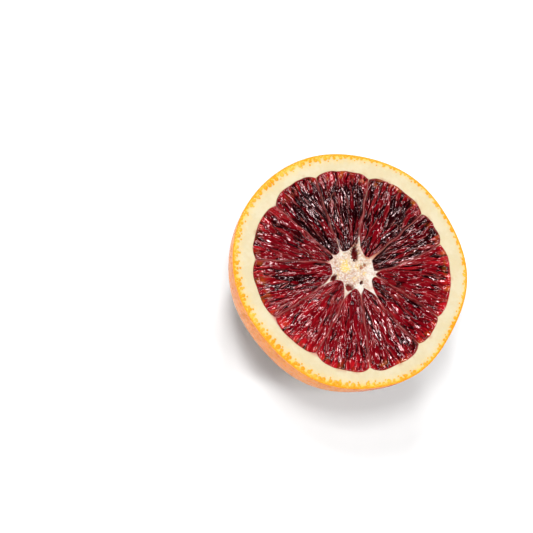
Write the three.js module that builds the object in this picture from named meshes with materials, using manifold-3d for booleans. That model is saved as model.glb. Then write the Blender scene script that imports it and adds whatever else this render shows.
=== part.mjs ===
// Half of a blood orange, cut across the middle and resting on its dome with the cut face up.
// Millimetres, +Z up. The origin is the middle of the small flat spot under the dome.
//
// The peel is one body: the rind, the white pith, the thin walls between the segments and the
// white core. It has a pocket for each segment, and the pulp of a segment fills its pocket.

import * as THREE from "three";
import { mergeVertices } from "three/addons/utils/BufferGeometryUtils.js";
import Module from "manifold-3d";

// ---------- driving dimensions ----------

const FACE_RADIUS = 35;           // cut face, centre to skin
const DOME_DEPTH = 32.6;          // cut face to where the pole of the dome would be
const FLAT_RADIUS = 6.5;          // flat spot that the half rests on
const PULP_DEPTH = 27.6;          // cut face to the pole of the pulp
const WALL_THICKNESS = 0.5;       // membrane between two segments
const PULP_GAP = 0.3;             // room between the pulp and its pocket
const PULP_DROP = 0.25;           // pulp lies this much below the cut edges of the walls
const PULP_FLOOR = 0.93;          // share of PULP_DEPTH at which the pockets end
const CORE_CENTRE = new THREE.Vector2(0.8, 0);
const CORE_RADIUS = 5.6;          // the round core under the star that shows at the cut
const STAR_DEPTH = 7;             // depth at which the points of the star have drawn in
const SHOULDER_POWER = 5;         // how square the outer corners of a segment are

// The rim is not quite round: how far each swelling stands out and the angle where it peaks.
const RIM_SWELLS = [
  { lobes: 3, height: 0.32, peak: 35 },
  { lobes: 4, height: 0.15, peak: 0 },
  { lobes: 6, height: 0.19, peak: 2 },
  { lobes: 7, height: 0.16, peak: -3 },
];

// Membranes, counter-clockwise from +X. Each runs from a notch at the pith to the core, and bows
// to its left (+) or right (-) on the way out. Near the core it forks into a pointed wedge,
// forkLength long and forkWidth wide. pulpRadius is how far the pulp of the next segment, up to
// the following membrane, reaches from the middle of the face, and toeDraw is how far the inner
// end of that segment bulges into the core.
const MEMBRANES = [
  { rimAngle: 18.1, notchRadius: 29.0, coreAngle: 1.5, coreRadius: 7.4, bow: -1.4,
    forkLength: 1.6, forkWidth: 0.7, toeDraw: 0.25, pulpRadius: 29.9 },
  { rimAngle: 38.3, notchRadius: 28.7, coreAngle: 29.7, coreRadius: 7.2, bow: -0.3,
    forkLength: 4.5, forkWidth: 0.9, toeDraw: 0.45, pulpRadius: 29.9 },
  { rimAngle: 75.8, notchRadius: 28.3, coreAngle: 70.5, coreRadius: 6.0, bow: 0,
    forkLength: 5.1, forkWidth: 4.0, toeDraw: 0.35, pulpRadius: 29.6 },
  { rimAngle: 108.5, notchRadius: 28.5, coreAngle: 116.3, coreRadius: 6.0, bow: 0.4,
    forkLength: 1.3, forkWidth: 0.7, toeDraw: 0.2, pulpRadius: 29.8 },
  { rimAngle: 139.9, notchRadius: 28.1, coreAngle: 140.7, coreRadius: 6.1, bow: 0,
    forkLength: 1.2, forkWidth: 0.7, toeDraw: 0.15, pulpRadius: 29.6 },
  { rimAngle: 176.4, notchRadius: 28.3, coreAngle: 160.6, coreRadius: 6.4, bow: 0,
    forkLength: 1.2, forkWidth: 0.7, toeDraw: 0.4, pulpRadius: 29.2 },
  { rimAngle: 213.0, notchRadius: 27.5, coreAngle: 204.7, coreRadius: 5.5, bow: 0.3,
    forkLength: 4.2, forkWidth: 1.8, toeDraw: 1.0, pulpRadius: 28.6 },
  { rimAngle: 245.2, notchRadius: 27.4, coreAngle: 259.0, coreRadius: 5.7, bow: 1.0,
    forkLength: 3.4, forkWidth: 2.4, toeDraw: 0.4, pulpRadius: 30.0 },
  { rimAngle: 278.6, notchRadius: 29.1, coreAngle: 295.5, coreRadius: 6.2, bow: 0.2,
    forkLength: 2.0, forkWidth: 1.8, toeDraw: 0.3, pulpRadius: 30.4 },
  { rimAngle: 312.8, notchRadius: 28.7, coreAngle: 319.5, coreRadius: 6.9, bow: -1.15,
    forkLength: 3.8, forkWidth: 2.6, toeDraw: 0.5, pulpRadius: 29.4 },
  { rimAngle: 333.4, notchRadius: 28.7, coreAngle: 346.0, coreRadius: 7.6, bow: 0.9,
    forkLength: 1.2, forkWidth: 0.3, toeDraw: 0.05, pulpRadius: 30.3 },
];
const FORK_POWER = 1.6;           // how hollow the two flanks of a fork are

// Splits in the core, where a wall forks: middle of each, its length, width, heading and depth.
const CORE_SPLITS = [
  { x: 2.2, y: 6.2, length: 6.4, width: 1.6, heading: 84, depth: 4 },
  { x: -5.2, y: -2.5, length: 2.6, width: 1.2, heading: 214, depth: 3 },
  { x: -0.4, y: -5.1, length: 1.8, width: 2.4, heading: 262, depth: 3.5 },
  { x: 3.3, y: -3.3, length: 1.7, width: 0.9, heading: 60, depth: 3 },
];

// ---------- resolution ----------

const RIM_STEPS = 72;
const DOME_STEPS = 12;
const POCKET_STEPS = 6;
const SIDE_STEPS = 6;
const SIDE_CROWDING = 1.6;        // crowds the steps of a side towards the core
const OUTER_STEPS = 8;
const TOE_STEPS = 4;
const SPLIT_STEPS = 8;

// ---------- derived ----------

const flatAngle = Math.acos(FLAT_RADIUS / FACE_RADIUS);
const faceZ = DOME_DEPTH * Math.sin(flatAngle);

const wasm = await Module();
wasm.setup();

// ---------- small helpers ----------

function polar(angleDeg, radius) {
  const angle = THREE.MathUtils.degToRad(angleDeg);
  return new THREE.Vector2(radius * Math.cos(angle), radius * Math.sin(angle));
}

function leftOf(direction) {
  return new THREE.Vector2(-direction.y, direction.x);
}

/** A closed solid lofted through rings of equally many points, with a fan over each end. */
function loft(rings) {
  const count = rings[0].length;
  const points = rings.flat();
  const index = [];
  for (let level = 0; level + 1 < rings.length; level += 1) {
    for (let step = 0; step < count; step += 1) {
      const a = level * count + step;
      const b = level * count + (step + 1) % count;
      index.push(a, b, b + count, a, b + count, a + count);
    }
  }
  capRing(points, index, 0, count, true);
  capRing(points, index, (rings.length - 1) * count, count, false);
  const geometry = new THREE.BufferGeometry().setFromPoints(points);
  geometry.setIndex(index);
  return geometry;
}

/** Triangles over one flat ring; reversed for the ring at the bottom. */
function capRing(points, index, first, count, reversed) {
  const contour = [];
  for (let step = 0; step < count; step += 1) {
    contour.push(new THREE.Vector2(points[first + step].x, points[first + step].y));
  }
  for (const [a, b, c] of THREE.ShapeUtils.triangulateShape(contour, [])) {
    if (reversed) {
      index.push(first + a, first + c, first + b);
    } else {
      index.push(first + a, first + b, first + c);
    }
  }
}

function toSolid(geometry) {
  const merged = mergeVertices(geometry, 1e-4);
  return new wasm.Manifold(new wasm.Mesh({
    numProp: 3,
    vertProperties: new Float32Array(merged.attributes.position.array),
    triVerts: new Uint32Array(merged.index.array),
  }));
}

function toGeometry(solid) {
  const mesh = solid.getMesh();
  const geometry = new THREE.BufferGeometry();
  geometry.setAttribute("position", new THREE.BufferAttribute(mesh.vertProperties, 3));
  geometry.setIndex(new THREE.BufferAttribute(mesh.triVerts, 1));
  return geometry;
}

// ---------- peel ----------

/** Radius of the rim at an angle round the face. */
function rimRadius(angleDeg) {
  let radius = FACE_RADIUS;
  for (const { lobes, height, peak } of RIM_SWELLS) {
    radius += height * Math.cos(THREE.MathUtils.degToRad(lobes * (angleDeg - peak)));
  }
  return radius;
}

function domeSolid() {
  const rings = [];
  for (let level = DOME_STEPS; level >= 0; level -= 1) {
    const latitude = flatAngle * level / DOME_STEPS;
    const z = faceZ - DOME_DEPTH * Math.sin(latitude);
    const ring = [];
    for (let step = 0; step < RIM_STEPS; step += 1) {
      const angle = 360 * step / RIM_STEPS;
      const point = polar(angle, rimRadius(angle) * Math.cos(latitude));
      ring.push(new THREE.Vector3(point.x, point.y, z));
    }
    rings.push(ring);
  }
  return toSolid(loft(rings));
}

// ---------- segments ----------

/** The two ends of a membrane at a depth under the face. */
function membraneEnds(membrane, depth) {
  const draw = Math.sqrt(1 - (depth / PULP_DEPTH) ** 2);
  const settled = THREE.MathUtils.smoothstep(depth, 0, STAR_DEPTH);
  const coreRadius = THREE.MathUtils.lerp(membrane.coreRadius, CORE_RADIUS, settled);
  const rim = polar(membrane.rimAngle, membrane.notchRadius);
  const core = polar(membrane.coreAngle, coreRadius);
  return {
    rim: rim.sub(CORE_CENTRE).multiplyScalar(draw).add(CORE_CENTRE),
    core: core.sub(CORE_CENTRE).multiplyScalar(0.6 + 0.4 * draw).add(CORE_CENTRE),
  };
}

/** How far half a membrane's fork stands off its middle line, at a distance from the core. */
function forkOffset({ forkLength, forkWidth }, distance, depth) {
  const settled = THREE.MathUtils.smoothstep(depth, 0, STAR_DEPTH);
  const taper = Math.max(0, 1 - distance / forkLength) ** FORK_POWER;
  return (1 - settled) * forkWidth / 2 * taper;
}

/**
 * Points along one side of a segment, from the core out. side is +1 for the side to the left of
 * its membrane and -1 for the side to the right.
 */
function sidePoints(membrane, depth, side, inset) {
  const { rim, core } = membraneEnds(membrane, depth);
  const along = rim.clone().sub(core);
  const length = along.length();
  along.normalize();
  const across = leftOf(along);
  const points = [];
  for (let step = 0; step <= SIDE_STEPS; step += 1) {
    const share = step / SIDE_STEPS;
    const distance = THREE.MathUtils.lerp(inset, length - inset, share ** SIDE_CROWDING);
    const bow = membrane.bow * (length / FACE_RADIUS) * Math.sin(Math.PI * distance / length);
    const offset = WALL_THICKNESS / 2 + inset + forkOffset(membrane, distance, depth);
    const point = core.clone().addScaledVector(along, distance);
    points.push(point.addScaledVector(across, bow + side * offset));
  }
  return points;
}

/** Points between two corners that bulge by crown from the chord, square at the shoulders. */
function bulgedPoints(from, to, crown, power, steps) {
  const points = [];
  const fromRadius = from.distanceTo(CORE_CENTRE);
  const toRadius = to.distanceTo(CORE_CENTRE);
  const fromAngle = Math.atan2(from.y - CORE_CENTRE.y, from.x - CORE_CENTRE.x);
  let sweep = Math.atan2(to.y - CORE_CENTRE.y, to.x - CORE_CENTRE.x) - fromAngle;
  sweep = THREE.MathUtils.euclideanModulo(sweep + Math.PI, 2 * Math.PI) - Math.PI;
  for (let step = 1; step < steps; step += 1) {
    const share = step / steps;
    const lift = crown * (1 - Math.abs(2 * share - 1) ** power);
    const radius = THREE.MathUtils.lerp(fromRadius, toRadius, share) + lift;
    const angle = fromAngle + sweep * share;
    const heading = new THREE.Vector2(Math.cos(angle), Math.sin(angle));
    points.push(heading.multiplyScalar(radius).add(CORE_CENTRE));
  }
  return points;
}

/** Outline of a segment at a depth, counter-clockwise, drawn in by inset on every side. */
function segmentOutline(membrane, following, depth, inset) {
  const draw = Math.sqrt(1 - (depth / PULP_DEPTH) ** 2);
  const right = sidePoints(membrane, depth, 1, inset);
  const left = sidePoints(following, depth, -1, inset);
  const notch = (membrane.notchRadius + following.notchRadius) / 2;
  const crown = (membrane.pulpRadius - notch) * draw;
  const outer = bulgedPoints(right.at(-1), left.at(-1), crown, SHOULDER_POWER, OUTER_STEPS);
  const toe = bulgedPoints(left[0], right[0], -membrane.toeDraw * draw, 2, TOE_STEPS);
  return [...right, ...outer, ...left.reverse(), ...toe];
}

function segmentSolid(membrane, following, inset, top) {
  const rings = [];
  const floor = PULP_DEPTH * PULP_FLOOR - inset;
  const floorLatitude = Math.asin(floor / PULP_DEPTH);
  for (let level = POCKET_STEPS; level >= 0; level -= 1) {
    const depth = PULP_DEPTH * Math.sin(floorLatitude * level / POCKET_STEPS);
    const z = level === 0 ? faceZ + top : faceZ - depth;
    const outline = segmentOutline(membrane, following, depth, inset);
    rings.push(outline.map((point) => new THREE.Vector3(point.x, point.y, z)));
  }
  return toSolid(loft(rings));
}

// ---------- core ----------

/** A pointed slot with a narrowed floor, for a split in the core. */
function splitSolid({ x, y, length, width, heading, depth }) {
  const turn = THREE.MathUtils.degToRad(heading);
  const levels = [
    { z: faceZ - depth, scale: 0.4 },
    { z: faceZ + 1, scale: 1 },
  ];
  const rings = levels.map(({ z, scale }) => {
    const ring = [];
    for (let step = 0; step < SPLIT_STEPS; step += 1) {
      const angle = 2 * Math.PI * step / SPLIT_STEPS;
      const pinch = 1 - 0.35 * Math.abs(Math.cos(angle));
      const point = new THREE.Vector2(
        scale * length / 2 * Math.cos(angle),
        scale * width / 2 * Math.sin(angle) * pinch,
      );
      point.rotateAround(new THREE.Vector2(0, 0), turn);
      ring.push(new THREE.Vector3(x + point.x, y + point.y, z));
    }
    return ring;
  });
  return toSolid(loft(rings));
}

// ---------- materials ----------

function peelMaterial() {
  return new THREE.MeshStandardMaterial({ color: 0xf2e4c0, roughness: 0.6, metalness: 0 });
}

function pulpMaterial() {
  return new THREE.MeshStandardMaterial({ color: 0x7a0a12, roughness: 0.25, metalness: 0 });
}

// ---------- assembly ----------

const CUT_CLEARANCE = 1;

function followingOf(position) {
  return MEMBRANES[(position + 1) % MEMBRANES.length];
}

const bloodOrangeHalf = new THREE.Group();

let peel = domeSolid();
MEMBRANES.forEach((membrane, position) => {
  peel = peel.subtract(segmentSolid(membrane, followingOf(position), 0, CUT_CLEARANCE));
});
for (const split of CORE_SPLITS) {
  peel = peel.subtract(splitSolid(split));
}
const peelMesh = new THREE.Mesh(toGeometry(peel), peelMaterial());
peelMesh.name = "peel";
bloodOrangeHalf.add(peelMesh);

MEMBRANES.forEach((membrane, position) => {
  const solid = segmentSolid(membrane, followingOf(position), PULP_GAP, -PULP_DROP);
  const pulp = new THREE.Mesh(toGeometry(solid), pulpMaterial());
  pulp.name = `segment_${String(position + 1).padStart(2, "0")}`;
  bloodOrangeHalf.add(pulp);
});

export default bloodOrangeHalf;
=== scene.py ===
"""Half of a blood orange: the rind, the pith and core, and the wet pulp of each segment."""

import math
from typing import NamedTuple

import bpy
import numpy as np
from bpy.props import FloatProperty, FloatVectorProperty, IntProperty, PointerProperty
from mathutils import Matrix, Vector
from mathutils.geometry import delaunay_2d_cdt


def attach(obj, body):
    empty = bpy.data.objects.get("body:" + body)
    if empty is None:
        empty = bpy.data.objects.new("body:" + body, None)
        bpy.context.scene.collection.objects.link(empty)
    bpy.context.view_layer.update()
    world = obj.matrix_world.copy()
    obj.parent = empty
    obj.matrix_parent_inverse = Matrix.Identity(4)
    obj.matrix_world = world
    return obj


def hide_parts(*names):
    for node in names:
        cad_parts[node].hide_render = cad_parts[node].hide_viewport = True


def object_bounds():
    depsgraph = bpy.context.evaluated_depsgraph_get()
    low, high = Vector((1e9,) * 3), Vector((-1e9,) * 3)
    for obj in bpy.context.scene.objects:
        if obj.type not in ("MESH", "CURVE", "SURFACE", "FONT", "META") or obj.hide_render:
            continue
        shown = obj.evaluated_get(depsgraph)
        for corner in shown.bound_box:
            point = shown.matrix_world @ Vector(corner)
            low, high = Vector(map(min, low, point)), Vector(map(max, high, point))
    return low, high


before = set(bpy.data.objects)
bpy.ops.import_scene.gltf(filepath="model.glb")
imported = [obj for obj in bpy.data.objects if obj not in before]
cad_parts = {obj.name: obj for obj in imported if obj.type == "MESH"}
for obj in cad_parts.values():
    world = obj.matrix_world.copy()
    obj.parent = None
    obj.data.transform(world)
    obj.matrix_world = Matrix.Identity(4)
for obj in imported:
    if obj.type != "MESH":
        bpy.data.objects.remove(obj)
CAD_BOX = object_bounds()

bl_info = {
    "name": "Blood orange half",
    "version": (1, 0, 0),
    "blender": (4, 5, 0),
    "location": "3D View > Sidebar > Fruit",
    "description": "Builds the rind, pith, core and pulp of a blood orange cut in half",
    "category": "Add Mesh",
}

# ---------------------------------------------------------------- sizes, in millimetres

MM = 0.001
FACE_SLACK = 0.28                  # the level of the cut face lies this far under the solid's top
FACE_Z = CAD_BOX[1].z / MM - FACE_SLACK
FACE_RADIUS = 35.0                 # cut face, centre to skin
DOME_DEPTH = 32.6                  # cut face to where the pole of the dome would be
FLAT_RADIUS = 6.5                  # flat spot that the half rests on
PULP_DEPTH = 27.6                  # cut face to the pole of the pulp
PULP_FLOOR = 0.93                  # share of the pulp's depth at which the pockets end
WALL_THICKNESS = 0.25              # membrane between two segments
CORE_CENTRE = np.array([0.8, 0.0])
CORE_RADIUS = 5.6                  # round core under the star that shows at the cut
STAR_DEPTH = 7.0                   # depth at which the points of the star have drawn in
SHOULDER_POWER = 4.5               # how square the outer corners of a segment are
TOE_POWER = 2.2                    # the same for its inner end
RIM_RIPPLE = 0.22                  # unevenness of a segment's outer edge
WALL_WAVE = 0.16                   # how far a wall waves to either side at the cut
WALL_WAVE_RATE = 0.9               # radians of that wave for each millimetre
FORK_TAPER = 1.6                   # how quickly the wedge at a wall's foot thins out
CROWDING = 1.15                    # power that crowds the points of an edge towards the core
SKIN_SLACK = 0.04                  # skin lies this far inside the solid it stands for
RIM_POINTS = 720                   # points round the face at the rim

# The rim is not quite round: (lobes, height, angle of the peak in degrees).
RIM_SWELLS = ((3, 0.32, 35.0), (4, 0.15, 0.0), (6, 0.19, 2.0), (7, 0.16, -3.0))


class Membrane(NamedTuple):
    """A wall between two segments, from its notch at the pith to the core. Angles in degrees."""

    rim_angle: float
    notch_radius: float
    core_angle: float
    core_radius: float
    bow: float            # how far it bows to its left on the way out
    fork_length: float    # the pointed wedge where it meets the core
    fork_width: float
    toe_draw: float       # how far the inner end of the next segment bulges into the core
    pulp_radius: float    # reach of the next segment's pulp
    ripeness: float       # 0 bright red to 1 near black, for the next segment
    warmth: float         # orange tint at the rim of the next segment


MEMBRANES = (
    Membrane(18.1, 29.0, 357.7, 7.4, -1.4, 1.6, 0.7, 0.25, 29.9, 0.74, 0.3),
    Membrane(38.3, 28.7, 29.7, 7.2, -0.3, 4.5, 0.9, 0.45, 29.9, 0.62, 0.7),
    Membrane(75.8, 28.3, 70.5, 6.0, 0.0, 5.1, 4.0, 0.35, 29.6, 0.69, 0.6),
    Membrane(108.5, 28.5, 116.3, 6.0, 0.4, 1.3, 0.7, 0.2, 29.8, 0.76, 0.1),
    Membrane(139.9, 28.1, 140.7, 6.1, 0.0, 1.2, 0.7, 0.15, 29.6, 0.56, 0.1),
    Membrane(176.4, 28.3, 160.6, 6.4, 0.0, 1.2, 0.7, 0.4, 29.2, 0.52, 0.4),
    Membrane(213.0, 27.5, 204.7, 5.5, 0.3, 4.2, 1.8, 1.0, 28.6, 0.42, 0.2),
    Membrane(245.2, 27.4, 259.0, 5.7, 1.0, 3.4, 2.4, 0.4, 30.0, 0.43, 0.2),
    Membrane(278.6, 29.1, 295.5, 6.2, 0.2, 2.0, 1.8, 0.3, 30.4, 0.51, 0.6),
    Membrane(312.8, 28.7, 319.5, 6.9, -1.15, 3.8, 2.6, 0.5, 29.4, 0.52, 0.3),
    Membrane(333.4, 28.7, 349.0, 7.6, 0.9, 1.2, 0.3, 0.05, 30.3, 0.44, 0.6),
)


class Split(NamedTuple):
    """An open slit in the core, where a wall forks."""

    x: float
    y: float
    length: float
    width: float
    heading: float
    depth: float


CORE_SPLITS = (
    Split(1.6, 5.6, 6.2, 3.4, 84.0, 0.9),
    Split(1.65, 5.2, 5.8, 2.6, 84.0, 3.2),
    Split(2.45, 8.6, 3.2, 0.9, 70.0, 1.6),
    Split(-5.2, -2.6, 3.0, 1.7, 224.0, 2.4),
    Split(-0.45, -5.2, 3.5, 2.8, 5.0, 1.3),
    Split(3.2, -3.4, 1.8, 1.05, 60.0, 2.0),
)


class Spot(NamedTuple):
    """A round patch of the core or a wall: a small pit, or a patch of another colour."""

    x: float
    y: float
    radius: float
    strength: float


CORE_PITS = (
    Spot(3.3, 1.05, 0.8, 1.0), Spot(4.4, 1.75, 0.7, 1.0), Spot(3.9, 1.45, 0.3, 0.5),
    Spot(5.1, 2.2, 0.45, 0.5), Spot(-1.8, 3.85, 0.45, 0.3), Spot(-4.5, 1.85, 0.6, 0.35),
    Spot(-0.8, -2.5, 0.55, 0.35), Spot(-3.15, -0.7, 0.55, 0.3), Spot(5.0, -4.6, 0.7, 0.35),
)
PALE_WALLS = (
    Spot(2.9, 8.6, 2.4, 0.9), Spot(-6.8, -4.0, 3.2, 0.8), Spot(6.6, -6.6, 2.2, 1.0),
    Spot(-1.6, -7.0, 2.2, 0.7), Spot(-3.4, 7.0, 2.6, 0.7),
)
BROWN_WALLS = (
    Spot(8.4, 5.3, 3.0, 0.9), Spot(5.3, 4.4, 1.9, 0.9), Spot(11.0, 7.6, 2.4, 0.7),
    Spot(0.9, 8.0, 1.9, 0.7), Spot(4.4, 6.6, 1.8, 0.7),
)
YELLOW_PATCHES = (
    Spot(-1.5, 0.7, 2.1, 1.0), Spot(-1.5, 2.2, 1.3, 0.8), Spot(1.95, 0.85, 1.1, 0.5),
    Spot(4.4, -0.9, 1.1, 0.5), Spot(1.2, -2.6, 1.1, 0.45),
)
WHITE_PATCHES = (
    Spot(2.6, -4.9, 1.7, 1.0), Spot(3.2, -6.6, 1.2, 1.0), Spot(6.4, -3.6, 1.8, 0.9),
    Spot(6.4, -6.2, 1.8, 0.8), Spot(-3.0, 4.8, 1.2, 0.6), Spot(6.0, 0.6, 1.8, 0.7),
    Spot(5.6, -1.6, 1.8, 0.8), Spot(-0.6, -7.0, 1.0, 0.8),
)


# ---------------------------------------------------------------- settings shown in the sidebar

def length_property(name, description, millimetres):
    """A length setting, given in millimetres."""
    return FloatProperty(
        name=name, description=description, default=millimetres * MM, unit="LENGTH")


def power_property(name, description, watts):
    """The power of a light."""
    return FloatProperty(name=name, description=description, default=watts, unit="POWER")


def factor_property(name, description, factor):
    """A share or strength from 0 to 1."""
    return FloatProperty(
        name=name, description=description, default=factor, min=0.0, max=1.0, subtype="FACTOR")


def colour_property(name, description, rgb):
    """A colour setting, given as linear red, green and blue."""
    return FloatVectorProperty(
        name=name, description=description, subtype="COLOR", size=3, min=0.0, max=1.0, default=rgb)


class FruitSizes(bpy.types.PropertyGroup):
    """Sizes of the fine relief, over the main sizes of the frame."""

    zest_width: length_property("Zest width", "Coloured band of the rind at the cut", 1.6)
    pore_spacing: length_property("Pore spacing", "Distance between the pores of the skin", 0.95)
    pore_depth: length_property("Pore depth", "Depth of a pore in the skin", 0.28)
    swell_height: length_property("Swell height", "Height of the skin's slow unevenness", 0.35)
    pulp_spacing: length_property(
        "Pulp spacing", "Distance between the points of the pulp's surface", 0.12)
    pulp_drop: length_property("Pulp drop", "How far the pulp lies below the walls' edges", 0.08)
    sac_length: length_property("Sac length", "Length of a long juice sac", 11.0)
    sac_width: length_property("Sac width", "Width of a juice sac", 1.5)
    seed: IntProperty(name="Seed", description="Changes every random draw", default=7, min=0)


class FruitColours(bpy.types.PropertyGroup):
    """Colours of the fruit, linear."""

    skin_orange: colour_property("Skin orange", "Skin where it has no blush", (0.94, 0.27, 0.008))
    # also the colour of the painted shade in the skin's pores
    skin_blush_and_pore_shade: colour_property("Skin blush", "Red blush of the skin", (0.6, 0.045, 0.006))
    zest: colour_property("Zest", "Oil glands cut open at the rim", (0.88, 0.33, 0.003))
    zest_pale: colour_property("Pale zest", "Rind between the glands", (0.88, 0.56, 0.075))
    pith: colour_property("Pith", "White of the peel", (0.65, 0.55, 0.345))
    pith_spot: colour_property("Pith spot", "Paler spots of the pith", (0.7, 0.625, 0.45))
    # also the painted shade down the sides of the core's slits
    stain: colour_property("Stain", "Juice soaked into the pith and core", (0.5, 0.2, 0.11))
    core: colour_property("Core", "Spongy middle", (0.65, 0.51, 0.39))
    core_spot: colour_property("Core spot", "Pinkish spots of the core", (0.5, 0.31, 0.26))
    void: colour_property("Void", "Inside of the slits in the core", (0.22, 0.016, 0.016))
    core_yellow: colour_property("Core yellow", "Yellow patch of the core", (0.79, 0.57, 0.15))
    core_white: colour_property("Core white", "White fibre of the core", (0.74, 0.68, 0.61))
    wall: colour_property("Wall", "Membrane seen edge on", (0.56, 0.15, 0.14))
    pulp_bright: colour_property("Bright pulp", "Least pigmented pulp", (0.45, 0.006, 0.011))
    pulp_mid: colour_property("Pulp", "Pulp of middling colour", (0.175, 0.001, 0.0045))
    # also the colour of the painted shade in the pulp's creases and sunken sacs
    pulp_dark_and_shade: colour_property("Dark pulp", "Most pigmented pulp", (0.012, 0.0002, 0.0008))
    # also painted as highlight along the crests of the sacs' folds
    sac_wall_and_highlight: colour_property("Sac wall", "Skin of a juice sac", (0.6, 0.13, 0.125))
    vein: colour_property("Vein", "Thin fibres that run over the sacs", (0.68, 0.23, 0.17))
    sac_orange: colour_property("Orange sac", "Sacs with little pigment", (0.55, 0.14, 0.012))


class StageSettings(bpy.types.PropertyGroup):
    """Floor, light and camera."""

    floor: colour_property("Floor", "Colour of the floor", (0.96, 0.96, 0.96))
    key_power: power_property("Key power", "Power of the large soft light", 3.3)
    glint_power: power_property(
        "Glint power", "Power of each small light that glints on the juice", 1.3)
    low_power: power_property("Low power", "Power of the light that skims the skin", 0.7)
    sky: factor_property("Sky", "Strength of the sky near the horizon", 0.52)
    sky_overhead: factor_property("Sky overhead", "Strength of the sky straight up", 0.08)
    sky_flag: factor_property("Sky flag", "Share of the sky kept out of wet reflections", 0.99)
    distance: length_property("Camera distance", "Camera to the middle of the cut face", 1500.0)


# ---------------------------------------------------------------- noise in plain numbers

def lattice_noise(x, y, seed):
    """Smooth noise from -1 to 1 with cells one unit across."""
    rng = np.random.default_rng(seed)
    size = 256
    angle = rng.uniform(0, 2 * np.pi, (size, size))
    gx, gy = np.cos(angle), np.sin(angle)
    x0, y0 = np.floor(x).astype(int), np.floor(y).astype(int)
    fx, fy = x - x0, y - y0
    ux, uy = fx ** 3 * (fx * (fx * 6 - 15) + 10), fy ** 3 * (fy * (fy * 6 - 15) + 10)

    def corner(dx, dy):
        i, j = (x0 + dx) % size, (y0 + dy) % size
        return gx[i, j] * (fx - dx) + gy[i, j] * (fy - dy)

    low = corner(0, 0) * (1 - ux) + corner(1, 0) * ux
    high = corner(0, 1) * (1 - ux) + corner(1, 1) * ux
    return 1.5 * (low * (1 - uy) + high * uy)


def layered_noise(x, y, seed, layers=3):
    """Noise with finer layers added, each at half the size and height of the one before."""
    total = np.zeros_like(x)
    for layer in range(layers):
        total += lattice_noise(x * 2 ** layer, y * 2 ** layer, seed + layer) / 2 ** layer
    return total / 1.6


def smooth(low, high, value):
    """0 below low, 1 above high and a smooth rise between."""
    t = np.clip((value - low) / (high - low), 0.0, 1.0)
    return t * t * (3 - 2 * t)


# ---------------------------------------------------------------- outlines

def polar(angle_deg, radius):
    """Points at angles in degrees and radii round the middle of the face."""
    angle = np.radians(angle_deg)
    return np.stack([radius * np.cos(angle), radius * np.sin(angle)], axis=-1)


def angle_of(points):
    """Angle of each point round the middle of the face, in degrees."""
    return np.degrees(np.arctan2(points[:, 1], points[:, 0]))


def angles_round(count):
    """Angles in degrees, evenly spread round the face."""
    return np.arange(count) * 360.0 / count


def distance_from(points, centre):
    """Distance of each point from a centre."""
    return np.hypot(*(points - centre).T)


def along_and_across(gap, heading):
    """Parts of vectors along a heading in radians, and to its left."""
    c, s = math.cos(heading), math.sin(heading)
    return gap @ (c, s), gap @ (-s, c)


def rim_radius(angle_deg):
    """Radius of the skin at the cut, at an angle round the face."""
    radius = FACE_RADIUS - SKIN_SLACK
    for lobes, height, peak in RIM_SWELLS:
        radius = radius + height * np.cos(np.radians(lobes * (angle_deg - peak)))
    return radius


def draw_in(depth):
    """Share to which the pulp has drawn in at a depth under the face."""
    return math.sqrt(1 - (depth / PULP_DEPTH) ** 2)


def side_curve(membrane, depth, side, inset, steps):
    """One side of a segment from the core out: to the left (+1) or right (-1) of its membrane."""
    settled = float(smooth(0.0, STAR_DEPTH, depth))
    draw = draw_in(depth)
    core_radius = membrane.core_radius + (CORE_RADIUS - membrane.core_radius) * settled
    rim = CORE_CENTRE + (polar(membrane.rim_angle, membrane.notch_radius) - CORE_CENTRE) * draw
    core = polar(membrane.core_angle, core_radius)
    core = CORE_CENTRE + (core - CORE_CENTRE) * (0.6 + 0.4 * draw)
    along = rim - core
    length = np.hypot(*along)
    along = along / length
    across = np.array([-along[1], along[0]])
    share = np.linspace(0.0, 1.0, steps) ** CROWDING
    distance = inset + (length - 2 * inset) * share
    bow = membrane.bow * (length / FACE_RADIUS) * np.sin(np.pi * distance / length)
    wave = np.sin(np.pi * share) * np.sin(distance * WALL_WAVE_RATE + membrane.rim_angle)
    fork = np.clip(1 - distance / membrane.fork_length, 0.0, 1.0) ** FORK_TAPER
    offset = WALL_THICKNESS / 2 + inset + (1 - settled) * membrane.fork_width / 2 * fork
    shift = bow + WALL_WAVE * wave * (1 - settled) + side * offset
    return core + np.outer(distance, along) + np.outer(shift, across)


def bulged_curve(start, end, crown, power, steps, ripple, seed):
    """A curve between two corners round the core that bulges by crown, square at the shoulders."""
    a, b = start - CORE_CENTRE, end - CORE_CENTRE
    first = math.atan2(a[1], a[0])
    sweep = (math.atan2(b[1], b[0]) - first + math.pi) % (2 * math.pi) - math.pi
    share = np.linspace(0.0, 1.0, steps)
    lift = crown * (1 - np.abs(2 * share - 1) ** power)
    waves = lattice_noise(share * 5 + 0.37, np.full_like(share, 0.5), seed)
    waves *= np.sin(np.pi * share) ** 0.5
    radius = np.hypot(*a) + (np.hypot(*b) - np.hypot(*a)) * share + lift + ripple * waves
    angle = first + sweep * share
    return CORE_CENTRE + np.stack([np.cos(angle), np.sin(angle)], axis=1) * radius[:, None]


class Outline(NamedTuple):
    """The four edges of a segment: right and left run out from the core, the others run left."""

    right: np.ndarray
    left: np.ndarray
    outer: np.ndarray
    toe: np.ndarray

    def ring(self):
        """All edges as one loop, counter-clockwise."""
        return np.concatenate(
            [self.right[:-1], self.outer[:-1], self.left[::-1][:-1], self.toe[::-1][:-1]])


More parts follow.
